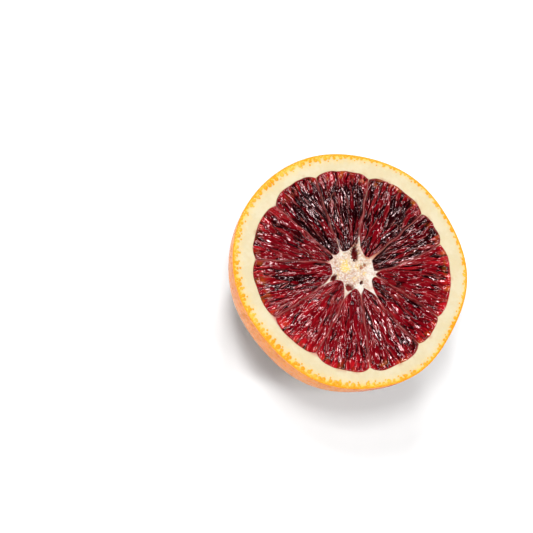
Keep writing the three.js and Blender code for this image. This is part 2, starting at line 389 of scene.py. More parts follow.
def segment_outline(index, depth, inset, along_steps, across_steps):
    """Outline of a segment at a depth, drawn in by inset on every side."""
    membrane = MEMBRANES[index]
    following = MEMBRANES[(index + 1) % len(MEMBRANES)]
    right = side_curve(membrane, depth, 1, inset, along_steps)
    left = side_curve(following, depth, -1, inset, along_steps)
    draw = draw_in(depth)
    notch = (membrane.notch_radius + following.notch_radius) / 2
    crown = (membrane.pulp_radius - notch) * draw
    ripple = RIM_RIPPLE * draw
    outer = bulged_curve(
        right[-1], left[-1], crown, SHOULDER_POWER, across_steps, ripple, index)
    toe = bulged_curve(
        right[0], left[0], -membrane.toe_draw * draw, TOE_POWER, across_steps, 0.0, index)
    return Outline(right, left, outer, toe)


def sunk_rings(index, inset, floor_share, levels, along_steps, across_steps):
    """Rings of a segment's outline at equal turns down to its floor, a share of the pulp's depth."""
    floor_angle = math.asin(floor_share)
    for level in range(1, levels + 1):
        depth = PULP_DEPTH * math.sin(floor_angle * level / levels)
        ring = segment_outline(index, depth, inset, along_steps, across_steps).ring()
        yield np.column_stack([ring, np.full(len(ring), FACE_Z - depth)])


# ---------------------------------------------------------------- meshes

def build_mesh(name, points_mm, faces, sharp_angle):
    """A mesh from points in millimetres and one array of faces for each count of corners.

    An edge that turns by more than the sharp angle, in degrees, is shaded as a sharp one.
    """
    mesh = bpy.data.meshes.new(name)
    faces = [np.asarray(f, np.int32) for f in faces if len(f)]
    loops = np.concatenate([f.ravel() for f in faces])
    counts = np.concatenate([np.full(len(f), f.shape[1], np.int32) for f in faces])
    starts = np.concatenate([[0], np.cumsum(counts)[:-1]]).astype(np.int32)
    mesh.vertices.add(len(points_mm))
    mesh.vertices.foreach_set("co", (np.asarray(points_mm) * MM).astype(np.float32).ravel())
    mesh.loops.add(len(loops))
    mesh.loops.foreach_set("vertex_index", loops)
    mesh.polygons.add(len(counts))
    mesh.polygons.foreach_set("loop_start", starts)
    mesh.update(calc_edges=True)
    mesh.validate()
    mesh.polygons.foreach_set("use_smooth", np.ones(len(mesh.polygons), bool))
    mesh.set_sharp_from_angle(angle=math.radians(sharp_angle))
    return mesh


def add_masks(mesh, name, channels):
    """Stores up to four masks as one colour for each point."""
    values = np.ones((len(mesh.vertices), 4), np.float32)
    for column, channel in enumerate(channels):
        values[:, column] = channel
    attribute = mesh.color_attributes.new(name, "FLOAT_COLOR", "POINT")
    attribute.data.foreach_set("color", values.ravel())


def add_values(mesh, name, kind, domain, values):
    """Stores one value for each point or face."""
    attribute = mesh.attributes.new(name, kind, domain)
    attribute.data.foreach_set("value", values)


def place(mesh, name, *materials):
    """An object for a finished mesh, at the origin."""
    piece = bpy.data.objects.new(name, mesh)
    bpy.context.scene.collection.objects.link(piece)
    for material in materials:
        mesh.materials.append(material)
    return piece


def band(first, second):
    """Faces with four corners between two rings of as many points."""
    return np.stack([first, np.roll(first, -1), np.roll(second, -1), second], 1)


class RingStack:
    """A closed skin built from rings of points, each with as many as the last, half or double."""

    def __init__(self):
        self.points = []
        self.faces = {3: [], 4: []}
        self.last = None
        self.count = 0

    def start(self, point):
        """The pole that the first ring closes on."""
        self.points.append(np.atleast_2d(point))
        self.last = np.array([0])
        self.count = 1

    def ring(self, points):
        """Adds a ring and the faces between it and the last."""
        new = np.arange(self.count, self.count + len(points))
        self.points.append(points)
        self.count += len(points)
        old = self.last
        if len(old) == 1:
            self.faces[3].append(np.stack([new, np.roll(new, -1), np.full_like(new, old[0])], 1))
        elif len(old) == len(new):
            self.faces[4].append(band(new, old))
        elif len(old) == 2 * len(new):
            even, odd, after = old[::2], old[1::2], np.roll(old[::2], -1)
            next_new = np.roll(new, -1)
            self.faces[3] += [np.stack(t, 1) for t in (
                (new, odd, even), (new, next_new, odd), (next_new, after, odd))]
        elif 2 * len(old) == len(new):
            even, odd, after = new[::2], new[1::2], np.roll(new[::2], -1)
            next_old = np.roll(old, -1)
            self.faces[3] += [np.stack(t, 1) for t in (
                (even, odd, old), (odd, next_old, old), (odd, after, next_old))]
        else:
            raise ValueError(f"a ring of {len(new)} can't follow one of {len(old)}")
        self.last = new

    def finish(self, point):
        """Closes the skin on a last pole."""
        pole = self.count
        self.points.append(np.atleast_2d(point))
        self.count += 1
        old = self.last
        self.faces[3].append(np.stack([np.full_like(old, pole), np.roll(old, -1), old], 1))

    def arrays(self):
        """All points, and the faces as one array for each count of corners."""
        faces = [np.concatenate(f) for f in self.faces.values() if f]
        return np.concatenate(self.points), faces


# ---------------------------------------------------------------- shader helpers

class Nodes:
    """Short ways to add and link nodes in a material or a node group."""

    def __init__(self, tree):
        self.tree = tree

    def add(self, kind, **settings):
        """A new node with its settings."""
        node = self.tree.nodes.new(kind)
        for key, value in settings.items():
            setattr(node, key, value)
        return node

    def link(self, source, target):
        """Links an output to an input."""
        self.tree.links.new(source, target)

    def feed(self, target, value):
        """Links an output to an input, or sets the input to a plain value."""
        if isinstance(value, bpy.types.NodeSocket):
            self.link(value, target)
        else:
            target.default_value = value

    def math(self, operation, first, second, third=None):
        """A Math node's result."""
        node = self.add("ShaderNodeMath", operation=operation)
        self.feed(node.inputs[0], first)
        self.feed(node.inputs[1], second)
        if third is not None:
            self.feed(node.inputs[2], third)
        return node.outputs[0]

    def mix(self, share, first, second):
        """The first colour, with a share of the second."""
        node = self.add("ShaderNodeMix", data_type="RGBA")
        self.feed(node.inputs[0], share)
        self.feed(node.inputs[6], as_rgba(first))
        self.feed(node.inputs[7], as_rgba(second))
        return node.outputs[2]

    def ramp(self, value, low, high, to_low=0.0, to_high=1.0):
        """A smooth rise from one level to another between two values."""
        node = self.add("ShaderNodeMapRange", interpolation_type="SMOOTHSTEP")
        for socket, v in zip(node.inputs, (value, low, high, to_low, to_high)):
            self.feed(socket, v)
        return node.outputs[0]

    def noise(self, vector, scale, detail=2.0, rough=0.5, distortion=0.0):
        """Noise from 0 to 1, with scale waves for each metre or unit of the vector."""
        node = self.add("ShaderNodeTexNoise")
        self.link(vector, node.inputs["Vector"])
        set_inputs(node, {
            "Scale": scale, "Detail": detail, "Roughness": rough, "Distortion": distortion})
        return node.outputs["Fac"]

    def cells(self, vector, scale):
        """Distance to the nearest of scattered points, in cells."""
        node = self.add("ShaderNodeTexVoronoi")
        self.link(vector, node.inputs["Vector"])
        self.feed(node.inputs["Scale"], scale)
        return node.outputs["Distance"]

    def bump(self, height, strength, distance):
        """A normal tilted by a height."""
        node = self.add("ShaderNodeBump")
        set_inputs(node, {"Strength": strength, "Distance": distance})
        self.link(height, node.inputs["Height"])
        return node.outputs["Normal"]

    def stored(self, name, kind):
        """A value stored on the points or faces, in a Geometry Nodes tree."""
        node = self.add("GeometryNodeInputNamedAttribute", data_type=kind)
        node.inputs["Name"].default_value = name
        return node.outputs["Attribute"]

    def set_material(self, geometry, material, selection=True):
        """The geometry with a material on its selected faces."""
        node = self.add("GeometryNodeSetMaterial")
        self.link(geometry, node.inputs["Geometry"])
        self.link(material, node.inputs["Material"])
        self.feed(node.inputs["Selection"], selection)
        return node.outputs[0]


def set_inputs(node, values):
    """Sets inputs of a node, given by name, to plain values."""
    for name, value in values.items():
        node.inputs[name].default_value = value


def new_tree(name, kind, inputs, outputs):
    """A node group with its sockets, each name with its kind; returns it, its helper and its ends."""
    tree = bpy.data.node_groups.new(name, kind)
    for in_out, sockets in (("INPUT", inputs), ("OUTPUT", outputs)):
        for socket, value_kind in sockets.items():
            tree.interface.new_socket(
                socket, in_out=in_out, socket_type=f"NodeSocket{value_kind}")
    nodes = Nodes(tree)
    return tree, nodes, nodes.add("NodeGroupInput"), nodes.add("NodeGroupOutput")


def as_rgba(value):
    """A colour of three numbers with its alpha; anything else as it is."""
    if isinstance(value, bpy.types.NodeSocket):
        return value
    return (*tuple(value)[:3], 1.0)


def new_material(name):
    """An empty material with a Principled surface; returns it, its helper and the surface."""
    material = bpy.data.materials.new(name)
    material.use_nodes = True
    tree = material.node_tree
    tree.nodes.clear()
    nodes = Nodes(tree)
    output = nodes.add("ShaderNodeOutputMaterial")
    surface = nodes.add("ShaderNodeBsdfPrincipled")
    nodes.link(surface.outputs[0], output.inputs[0])
    return material, nodes, surface


def object_coordinates(nodes):
    """The place on the piece, in metres."""
    return nodes.add("ShaderNodeTexCoord").outputs["Object"]


def bounce_greyed(nodes, colour, share):
    """The colour, drained by a share where it only lights the floor, so that shadows stay neutral."""
    seen_by = nodes.add("ShaderNodeLightPath")
    drained = nodes.mix(share, colour, (0.5, 0.5, 0.5))
    return nodes.mix(seen_by.outputs["Is Diffuse Ray"], colour, drained)


def masks_of(nodes, name):
    """The stored masks of a piece: red, green, blue and alpha."""
    attribute = nodes.add("ShaderNodeAttribute", attribute_name=name, attribute_type="GEOMETRY")
    split = nodes.add("ShaderNodeSeparateColor")
    nodes.link(attribute.outputs["Color"], split.inputs[0])
    return (*split.outputs[:3], attribute.outputs["Alpha"])


def mottle_group():
    """Uneven colour at two sizes: mixes a colour towards another in soft spots."""
    group = bpy.data.node_groups.get("Fruit mottle")
    if group:
        return group
    group, nodes, source, target = new_tree(
        "Fruit mottle", "ShaderNodeTree",
        {"Vector": "Vector", "Color": "Color", "Spot Color": "Color", "Amount": "Float"},
        {"Color": "Color"})
    large = nodes.noise(source.outputs["Vector"], 160.0, 2.0)
    small = nodes.noise(source.outputs["Vector"], 900.0, 3.0, 0.6)
    large_part = nodes.math("MULTIPLY", large, 0.6)
    small_part = nodes.math("MULTIPLY", small, 0.4)
    mask = nodes.ramp(nodes.math("ADD", large_part, small_part), 0.42, 0.62)
    share = nodes.math("MULTIPLY", mask, source.outputs["Amount"])
    colour = nodes.mix(share, source.outputs["Color"], source.outputs["Spot Color"])
    nodes.link(colour, target.inputs["Color"])
    return group


def mottled(nodes, vector, colour, spot, amount):
    """A colour with soft spots of another."""
    node = nodes.add("ShaderNodeGroup", node_tree=mottle_group())
    nodes.link(vector, node.inputs["Vector"])
    set_inputs(node, {"Color": as_rgba(colour), "Spot Color": as_rgba(spot), "Amount": amount})
    return node.outputs["Color"]


# ---------------------------------------------------------------- materials

STREAKS_PER_RADIAN = 45.0           # colour streaks of the pulp, round the core
STREAKS_PER_METRE = 180.0           # and from the core outwards


def skin_material(colours, sizes):
    """Waxy orange skin with speckles, shallow pores painted darker as painted shade, and a red blush.
    """
    material, nodes, surface = new_material("orange_skin")
    where = object_coordinates(nodes)
    blush = nodes.ramp(nodes.noise(where, 38.0, 3.0, 0.6, 0.4), 0.44, 0.7)
    base = nodes.mix(nodes.math("MULTIPLY", blush, 0.8), colours.skin_orange, colours.skin_blush_and_pore_shade)
    speckle = nodes.noise(where, 800.0, 2.0, 0.6)
    base = nodes.mix(nodes.ramp(speckle, 0.45, 0.65, 0.0, 0.6), base, colours.zest)
    pore = nodes.ramp(nodes.cells(where, 1 / sizes.pore_spacing), 0.0, 0.42, 1.0, 0.0)
    # pores painted darker red: painted shade in the dimples
    base = nodes.mix(nodes.math("MULTIPLY", pore, 0.55), base, colours.skin_blush_and_pore_shade)
    nodes.link(bounce_greyed(nodes, base, 0.85), surface.inputs["Base Color"])
    rough = nodes.ramp(nodes.noise(where, 700.0, 2.0), 0.3, 0.7, 0.42, 0.58)
    nodes.link(rough, surface.inputs["Roughness"])
    set_inputs(surface, {
        "IOR": 1.33, "Coat Weight": 0.5, "Coat Roughness": 0.12, "Coat IOR": 1.35})
    grain = nodes.noise(where, 1100.0, 3.0, 0.6)
    height = nodes.math("SUBTRACT", grain, nodes.math("MULTIPLY", pore, 0.6))
    nodes.link(nodes.bump(height, 0.9, 0.45 * MM), surface.inputs["Normal"])
    return material


def cut_peel_material(colours):
    """Cut rind, pith, walls and core in one, coloured by the stored masks."""
    material, nodes, surface = new_material("cut_peel")
    where = object_coordinates(nodes)
    zest, gland, wall, core = masks_of(nodes, "peel_masks")
    yellow, void, white, stain = masks_of(nodes, "core_masks")
    base = mottled(nodes, where, colours.pith, colours.pith_spot, 0.6)
    middle = mottled(nodes, where, colours.core, colours.core_spot, 0.8)
    for mask, colour in ((core, middle), (stain, colours.stain), (yellow, colours.core_yellow),
                         (white, colours.core_white), (wall, colours.wall), (void, colours.void),
                         (zest, colours.zest_pale), (gland, colours.zest)):
        base = nodes.mix(mask, base, colour)
    nodes.link(base, surface.inputs["Base Color"])
    set_inputs(surface, {
        "Roughness": 0.5, "Specular IOR Level": 0.12, "Subsurface Weight": 0.15,
        "Subsurface Radius": (1.0, 0.6, 0.35), "Subsurface Scale": 0.7 * MM})
    fibre = nodes.noise(where, 1500.0, 3.0, 0.6)
    nodes.link(nodes.bump(fibre, 0.4, 0.12 * MM), surface.inputs["Normal"])
    return material


def fan_coordinates(nodes, where):
    """Coordinates that fan out from the core, for streaks that run outwards."""
    rel = nodes.add("ShaderNodeVectorMath", operation="SUBTRACT")
    nodes.link(where, rel.inputs[0])
    rel.inputs[1].default_value = (CORE_CENTRE[0] * MM, CORE_CENTRE[1] * MM, 0.0)
    split = nodes.add("ShaderNodeSeparateXYZ")
    nodes.link(rel.outputs[0], split.inputs[0])
    around = nodes.math("ARCTAN2", split.outputs["Y"], split.outputs["X"])
    out = nodes.add("ShaderNodeVectorMath", operation="LENGTH")
    nodes.link(rel.outputs[0], out.inputs[0])
    fan = nodes.add("ShaderNodeCombineXYZ")
    nodes.link(nodes.math("MULTIPLY", around, STREAKS_PER_RADIAN), fan.inputs[0])
    nodes.link(nodes.math("MULTIPLY", out.outputs["Value"], STREAKS_PER_METRE), fan.inputs[1])
    return fan.outputs[0]


def pulp_material(colours):
    """Wet pulp, by stored masks: sac walls and painted highlight, red with painted shade, orange tint
    and veins.
    """
    material, nodes, surface = new_material("wet_pulp")
    where = object_coordinates(nodes)
    line, pigment_and_shade, orange, vein = masks_of(nodes, "pulp_masks")
    fan = fan_coordinates(nodes, where)
    streak = nodes.noise(fan, 1.0, 3.0, 0.6, 0.3)
    pigment_and_shade = nodes.math("ADD", pigment_and_shade, nodes.math("MULTIPLY_ADD", streak, 0.4, -0.2))
    # the red deepens with the pulp's own tone and with painted shade in creases and sunken sacs
    low = nodes.mix(nodes.ramp(pigment_and_shade, 0.0, 0.5), colours.pulp_bright, colours.pulp_mid)
    base = nodes.mix(nodes.ramp(pigment_and_shade, 0.5, 1.0), low, colours.pulp_dark_and_shade)
    for mask, colour in ((orange, colours.sac_orange), (line, colours.sac_wall_and_highlight), (vein, colours.vein)):
        base = nodes.mix(mask, base, colour)
    nodes.link(base, surface.inputs["Base Color"])
    set_inputs(surface, {
        "Roughness": 0.075, "IOR": 1.48, "Specular IOR Level": 1.0,
        "Specular Tint": (1.0, 0.68, 0.7, 1.0),
        "Coat Weight": 0.2, "Coat Roughness": 0.05, "Coat IOR": 1.45})
    nodes.link(nodes.bump(streak, 0.05, 0.12 * MM), surface.inputs["Normal"])
    return material


# ---------------------------------------------------------------- rind

FLAT_LATITUDE = math.acos(FLAT_RADIUS / FACE_RADIUS)
FLAT_POINTS = 90                    # points of a ring on the flat spot
FLAT_RINGS = (1.0, 0.8, 0.55, 0.3)  # those rings, as shares of its radius
BAND_STEPS = 11                     # rings of points across the cut rind
BAND_RELIEF = 0.03                  # unevenness of the cut rind
EDGE_DROP = 0.06                    # how far the knife's edge of the skin is rounded off
SWELL_SIZE = 16.0                   # distance between the slow swells of the skin
ZEST_WIDE_SIDE = 225.0              # angle at which the coloured band is widest
ZEST_BUMP = 110.0                   # and a second, smaller widening
ZEST_BUMP_SPREAD = 1200.0           # how far round that one reaches, in square degrees

# Unseen inner rings of the rind: latitude below the face and points.
INNER_RINGS = ((1.35, 90), (1.2, 90), (1.0, 180), (0.8, 180), (0.6, 360), (0.4, 360),
               (0.25, 720), (0.12, 720), (0.04, 720))
# Rings of the skin, coarser where it turns under: first and last latitude, step and points.
SKIN_RINGS = ((0.006, 0.86, 0.0085, 720), (0.87, 1.22, 0.012, 360),
              (1.235, FLAT_LATITUDE, 0.022, 180))
# Rows of oil glands: depth under the skin, distance apart and size.
GLAND_ROWS = ((0.55, 1.15, 0.5), (1.3, 1.7, 0.7), (2.1, 3.0, 0.36))
GLAND_SHAKE = 0.3                   # how far a gland strays along its row, in steps
GLAND_STRAY = 0.14                  # and across it, in millimetres
GLAND_CLEARANCE = 0.08              # least gap between an unstretched gland and the skin


def dome_ring(latitude, count, thickness=0.0):
    """A ring of the dome's surface, or of a surface under it, at a latitude below the face."""
    angle = angles_round(count)
    flat = polar(angle, (rim_radius(angle) - thickness) * math.cos(latitude))
    z = FACE_Z - (DOME_DEPTH - thickness) * math.sin(latitude)
    return np.column_stack([flat, np.full(count, max(z, thickness))])


def flat_ring(radius_share):
    """A ring of the flat spot, at a share of its radius."""
    ring = dome_ring(FLAT_LATITUDE, FLAT_POINTS)
    ring[:, :2] *= radius_share
    ring[:, 2] = 0.0
    return ring


def zest_width(angle_deg, zest):
    """Width of the coloured band, which is wider on two sides of the fruit."""
    wide = 0.5 + 0.5 * np.cos(np.radians(angle_deg - ZEST_WIDE_SIDE))
    away = (angle_deg - ZEST_BUMP + 180.0) % 360.0 - 180.0
    bump = np.exp(-away ** 2 / ZEST_BUMP_SPREAD)
    return zest * (0.54 + 0.59 * wide ** 2 + 0.45 * bump)


def zest_share(angle_deg, inward, zest):
    """How yellow the cut peel is: full at the skin, fading unevenly towards the pith."""
    x, y = polar(angle_deg, FACE_RADIUS).T
    uneven = layered_noise(x * 0.9, y * 0.9, 31)
    edge = zest_width(angle_deg, zest) * (1.0 + 0.3 * uneven)
    spots = layered_noise(x * 1.8, inward * 1.8 + y * 1.8, 35)
    fleck = 0.2 + 0.2 * smooth(0.0, 0.5, spots)
    full = 0.85 * (1 - smooth(edge * 0.2, edge * 1.25, inward))
    return full + fleck * (1 - smooth(edge, edge * 2.4, inward))


def oily_line(inward):
    """The oily line where the skin was cut: 1 at the skin and 0 a little way in."""
    return 1 - smooth(0.25, 0.75, inward)


def rind_skin_tree():
    """Geometry Nodes: pits the skin with pores over slow swells, then gives it its materials."""
    lengths = ("Pore Spacing", "Pore Depth", "Swell Height", "Swell Size", "Seed")
    tree, nodes, source, target = new_tree(
        "Rind pores", "GeometryNodeTree",
        {"Geometry": "Geometry", **{name: "Float" for name in lengths},
         "Skin": "Material", "Cut": "Material"},
        {"Geometry": "Geometry"})
    where = nodes.add("GeometryNodeInputPosition").outputs[0]
    normal = nodes.add("GeometryNodeInputNormal").outputs[0]

    pores_per_metre = nodes.math("DIVIDE", 1.0, source.outputs["Pore Spacing"])
    pit = nodes.ramp(nodes.cells(where, pores_per_metre), 0.04, 0.42, -1.0, 0.0)
    deep = nodes.math("MULTIPLY", pit, source.outputs["Pore Depth"])

    swells = nodes.add("ShaderNodeTexNoise", noise_dimensions="4D")
    nodes.link(where, swells.inputs["Vector"])
    nodes.link(source.outputs["Seed"], swells.inputs["W"])
    nodes.link(nodes.math("DIVIDE", 1.0, source.outputs["Swell Size"]), swells.inputs["Scale"])
    swell = nodes.math("SUBTRACT", swells.outputs["Fac"], 0.85)
    slow = nodes.math("MULTIPLY", swell, source.outputs["Swell Height"])

    relief = nodes.math("ADD", deep, slow)
    height = nodes.math("MULTIPLY", relief, nodes.stored("on_skin", "FLOAT"))
    push = nodes.add("ShaderNodeVectorMath", operation="SCALE")
    nodes.link(normal, push.inputs[0])
    nodes.link(height, push.inputs["Scale"])
    move = nodes.add("GeometryNodeSetPosition")
    nodes.link(source.outputs["Geometry"], move.inputs["Geometry"])
    nodes.link(push.outputs[0], move.inputs["Offset"])

    realize = nodes.add("GeometryNodeRealizeInstances")
    nodes.link(move.outputs[0], realize.inputs[0])
    cut = nodes.set_material(realize.outputs[0], source.outputs["Cut"])
    skin_faces = nodes.stored("skin_face", "BOOLEAN")
    skin = nodes.set_material(cut, source.outputs["Skin"], skin_faces)
    nodes.link(skin, target.inputs[0])
    return tree


def bake_tree(piece, tree, inputs):
    """Runs a Geometry Nodes tree on a piece and keeps the result as its plain mesh."""
    modifier = piece.modifiers.new("Nodes", "NODES")
    modifier.node_group = tree
    for item in tree.interface.items_tree:
        if item.in_out == "INPUT" and item.name in inputs:
            modifier[item.identifier] = inputs[item.name]
    bpy.context.view_layer.update()
    evaluated = piece.evaluated_get(bpy.context.evaluated_depsgraph_get())
    mesh = bpy.data.meshes.new_from_object(evaluated)
    piece.modifiers.clear()
    plain = piece.data
    piece.data = mesh
    mesh.name = piece.name
    bpy.data.meshes.remove(plain)
    return piece


def gland_tree():
    """Geometry Nodes: sets an oil gland on every point, sized and turned by the point's own values."""
    tree, nodes, source, target = new_tree(
        "Oil glands", "GeometryNodeTree",
        {"Geometry": "Geometry", "Size": "Float", "Bulge": "Float", "Seed": "Int",
         "Material": "Material"},
        {"Geometry": "Geometry"})
    bead = nodes.add("GeometryNodeMeshUVSphere")
    set_inputs(bead, {"Segments": 8, "Rings": 5, "Radius": 1.0})
    stretch = nodes.add("FunctionNodeRandomValue", data_type="FLOAT")
    stretch.inputs[2].default_value = 0.75
    stretch.inputs[3].default_value = 1.2
    nodes.link(source.outputs["Seed"], stretch.inputs["Seed"])
    width = nodes.math("MULTIPLY", nodes.stored("share", "FLOAT"), source.outputs["Size"])
    scale = nodes.add("ShaderNodeCombineXYZ")
    nodes.link(nodes.math("MULTIPLY", width, stretch.outputs[1]), scale.inputs[0])
    nodes.link(width, scale.inputs[1])
    nodes.link(nodes.math("MULTIPLY", width, source.outputs["Bulge"]), scale.inputs[2])
    turn = nodes.add("ShaderNodeCombineXYZ")
    nodes.link(nodes.stored("heading", "FLOAT"), turn.inputs[2])
    put = nodes.add("GeometryNodeInstanceOnPoints")
    nodes.link(source.outputs["Geometry"], put.inputs["Points"])
    nodes.link(bead.outputs["Mesh"], put.inputs["Instance"])
    nodes.link(turn.outputs[0], put.inputs["Rotation"])
    nodes.link(scale.outputs[0], put.inputs["Scale"])
    realize = nodes.add("GeometryNodeRealizeInstances")
    nodes.link(put.outputs[0], realize.inputs[0])
    soften = nodes.add("GeometryNodeSetShadeSmooth")
    nodes.link(realize.outputs[0], soften.inputs[0])
    painted = nodes.set_material(soften.outputs[0], source.outputs["Material"])
    nodes.link(painted, target.inputs[0])
    return tree


def gland_material(colours):
    """Oily orange bead with paler spots."""
    material, nodes, surface = new_material("oil_gland")
    base = mottled(nodes, object_coordinates(nodes), colours.zest, colours.zest_pale, 0.7)
    nodes.link(base, surface.inputs["Base Color"])
    set_inputs(surface, {
        "Roughness": 0.35, "Specular IOR Level": 0.25, "Coat Weight": 0.2, "Coat Roughness": 0.1})
    return material


def make_glands(sizes, colours):
    """Oil glands cut open along the rim of the face, as flat beads sunk in the coloured band."""
    rng = np.random.default_rng(sizes.seed + 5)
    zest = sizes.zest_width / MM
    angles, inward, share = [], [], []
    for middle, pitch, size in GLAND_ROWS:
        count = int(2 * np.pi * FACE_RADIUS / pitch)
        angle = (np.arange(count) + rng.uniform(-GLAND_SHAKE, GLAND_SHAKE, count)) * 360.0 / count
        reach = zest_width(angle, zest) / zest
        keep = rng.uniform(0, 1, count) < 0.6 + 0.4 * reach
        angles.append(angle[keep])
        inward.append((middle * reach + rng.uniform(-GLAND_STRAY, GLAND_STRAY, count))[keep])
        share.append((size * rng.uniform(0.6, 1.1, count) * (0.6 + 0.4 * reach))[keep])
    angles, inward, share = (np.concatenate(v) for v in (angles, inward, share))
    flat = polar(angles, rim_radius(angles) - np.maximum(inward, share + GLAND_CLEARANCE))
    mesh = bpy.data.meshes.new("oil_glands")
    mesh.from_pydata(np.column_stack([flat, np.full(len(flat), FACE_Z)]) * MM, [], [])
    add_values(mesh, "share", "FLOAT", "POINT", share.astype(np.float32))
    add_values(mesh, "heading", "FLOAT", "POINT", np.radians(angles).astype(np.float32))
    piece = place(mesh, "oil_glands")
    return bake_tree(piece, gland_tree(), {
        "Size": 1.0 * MM, "Bulge": 0.3, "Seed": sizes.seed, "Material": gland_material(colours)})


def rind_stack(sizes, zest):
    """Rings of the whole rind, and the counts of points before the band, the skin and the flat."""
    stack = RingStack()
    stack.start((0.0, 0.0, zest))
    for latitude, count in INNER_RINGS:
        stack.ring(dome_ring(latitude, count, zest))
    counts = [stack.count]

    angle = angles_round(RIM_POINTS)
    for step in range(BAND_STEPS + 1):
        inward = np.full(RIM_POINTS, zest * (1 - step / BAND_STEPS))
        edge = -EDGE_DROP if step == BAND_STEPS else 0.0
        flat = polar(angle, rim_radius(angle) - inward)
        relief = BAND_RELIEF * lattice_noise(flat[:, 0] * 1.3, flat[:, 1] * 1.3, sizes.seed)
        stack.ring(np.column_stack([flat, FACE_Z + relief + edge]))
    counts.append(stack.count)

    for first, last, step, count in SKIN_RINGS:
        for latitude in np.arange(first, last, step):
            stack.ring(dome_ring(latitude, count))
    counts.append(stack.count)
    for share in FLAT_RINGS:
        stack.ring(flat_ring(share))
    stack.finish((0.0, 0.0, 0.0))
    return stack, counts


def make_rind(sizes, colours):
    """The coloured outer peel: skin over the dome and the coloured band round the cut face."""
    zest = sizes.zest_width / MM
    stack, (inner_count, band_count, dome_count) = rind_stack(sizes, zest)
    points, faces = stack.arrays()
    mesh = build_mesh("rind", points, faces, sharp_angle=50)
    angle = angle_of(points)
    inward = np.clip(rim_radius(angle) - np.hypot(points[:, 0], points[:, 1]), 0.0, None)
    gland = oily_line(inward)
    gland[:inner_count] = 0.0
    add_masks(mesh, "peel_masks", (zest_share(angle, inward, zest), gland, 0.0, 0.0))
    add_masks(mesh, "core_masks", (0.0, 0.0, 0.0, 0.0))

    index = np.arange(len(points))
    on_skin = ((index >= band_count) & (index < dome_count)).astype(np.float32)
    on_skin *= smooth(0.0, 0.9, FACE_Z - points[:, 2]) * smooth(0.0, 0.35, points[:, 2])
    add_values(mesh, "on_skin", "FLOAT", "POINT", on_skin.astype(np.float32))
    high = np.array([max(face.vertices) for face in mesh.polygons])
    low = np.array([min(face.vertices) for face in mesh.polygons])
    # The last ring of the band is the first of the skin, so a face of the skin may start there.
    skin_face = (low >= band_count - RIM_POINTS) & (high >= band_count)
    add_values(mesh, "skin_face", "BOOLEAN", "FACE", skin_face)

    skin = skin_material(colours, sizes)
    cut = cut_peel_material(colours)
    return bake_tree(place(mesh, "rind"), rind_skin_tree(), {
        "Pore Spacing": sizes.pore_spacing, "Pore Depth": sizes.pore_depth,
        "Swell Height": sizes.swell_height, "Swell Size": SWELL_SIZE * MM,
        "Seed": float(sizes.seed), "Skin": skin, "Cut": cut})


# ---------------------------------------------------------------- pith, walls and core

POCKET_STEPS = (90, 40)             # points of a pocket's edges, out from the core and across
POCKET_LEVELS = 6                   # rings of points down a pocket
PITH_RINGS = (0.1, 0.25, 0.45, 0.65, 0.85, 1.05, 1.2, 1.32)  # latitudes of its hidden outside
PITH_GAP = 0.05                     # between the pith's outside and the rind's inside
FINE_SPACING = 0.15                 # points of the cut face over the walls and the core
COARSE_SPACING = 0.34               # and over the pith
GRID_SHAKE = 0.18                   # how far a point strays from its place, in spacings
FINE_REACH = 30.5                   # no fine points lie further out than this
CORE_REACH = 13.0                   # all points this near to the core's centre are fine
WALL_REACH = 0.9                    # and all this near to the middle line of a wall
WALL_LINE_STEPS = 12                # points of that line
RIM_CLEARANCE = 0.12                # left free along the edge of the face
POCKET_CLEARANCE = 0.07             # and along the edge of a pocket
FAR = 10.0                          # stands for any greater distance from an edge
WALL_TINT_BELOW = 0.7               # how far the pockets' sides take the walls' colour
SIX_SIDED = 0.866                   # height of a row in a six-sided grid


def distance_to_loop(points, loop):
    """Distance from each point to a closed outline, and whether the point lies inside it."""
    nearest = np.full(len(points), np.inf)
    inside = np.zeros(len(points), bool)
    ends = np.roll(loop, -1, axis=0)
    for a, b in zip(loop, ends):
        edge = b - a
        length = edge @ edge
        share = np.clip(((points - a) @ edge) / max(length, 1e-12), 0.0, 1.0)
        gap = points - a - share[:, None] * edge
        nearest = np.minimum(nearest, (gap ** 2).sum(1))
        crosses = (a[1] > points[:, 1]) != (b[1] > points[:, 1])
        if crosses.any():
            at = a[0] + (points[:, 1] - a[1]) / (b[1] - a[1] + 1e-30) * (b[0] - a[0])
            inside ^= crosses & (points[:, 0] < at)
    return np.sqrt(nearest), inside


def scatter(rng, spacing, reach):
    """Points on a six-sided grid, shaken a little, within reach of the middle."""
    rows = int(reach / (spacing * SIX_SIDED)) + 1
    columns = int(reach / spacing) + 1
    j, i = np.mgrid[-rows:rows + 1, -columns:columns + 1]
    x = (i + 0.5 * (j % 2)) * spacing
    y = j * spacing * SIX_SIDED
    points = np.column_stack([x.ravel(), y.ravel()])
    points += rng.uniform(-GRID_SHAKE, GRID_SHAKE, points.shape) * spacing
    return points[np.hypot(points[:, 0], points[:, 1]) < reach]


def near_walls(points):
    """Whether each point lies near the middle line of a wall."""
    near = np.zeros(len(points), bool)
    for membrane in MEMBRANES:
        left, right = (side_curve(membrane, 0.0, side, 0.0, WALL_LINE_STEPS) for side in (1, -1))
        line = (left + right) / 2
        for a, b in zip(line[:-1], line[1:]):
            edge = b - a
            share = np.clip(((points - a) @ edge) / (edge @ edge), 0.0, 1.0)
            gap = points - a - share[:, None] * edge
            near |= np.hypot(*gap.T) < WALL_REACH
    return near


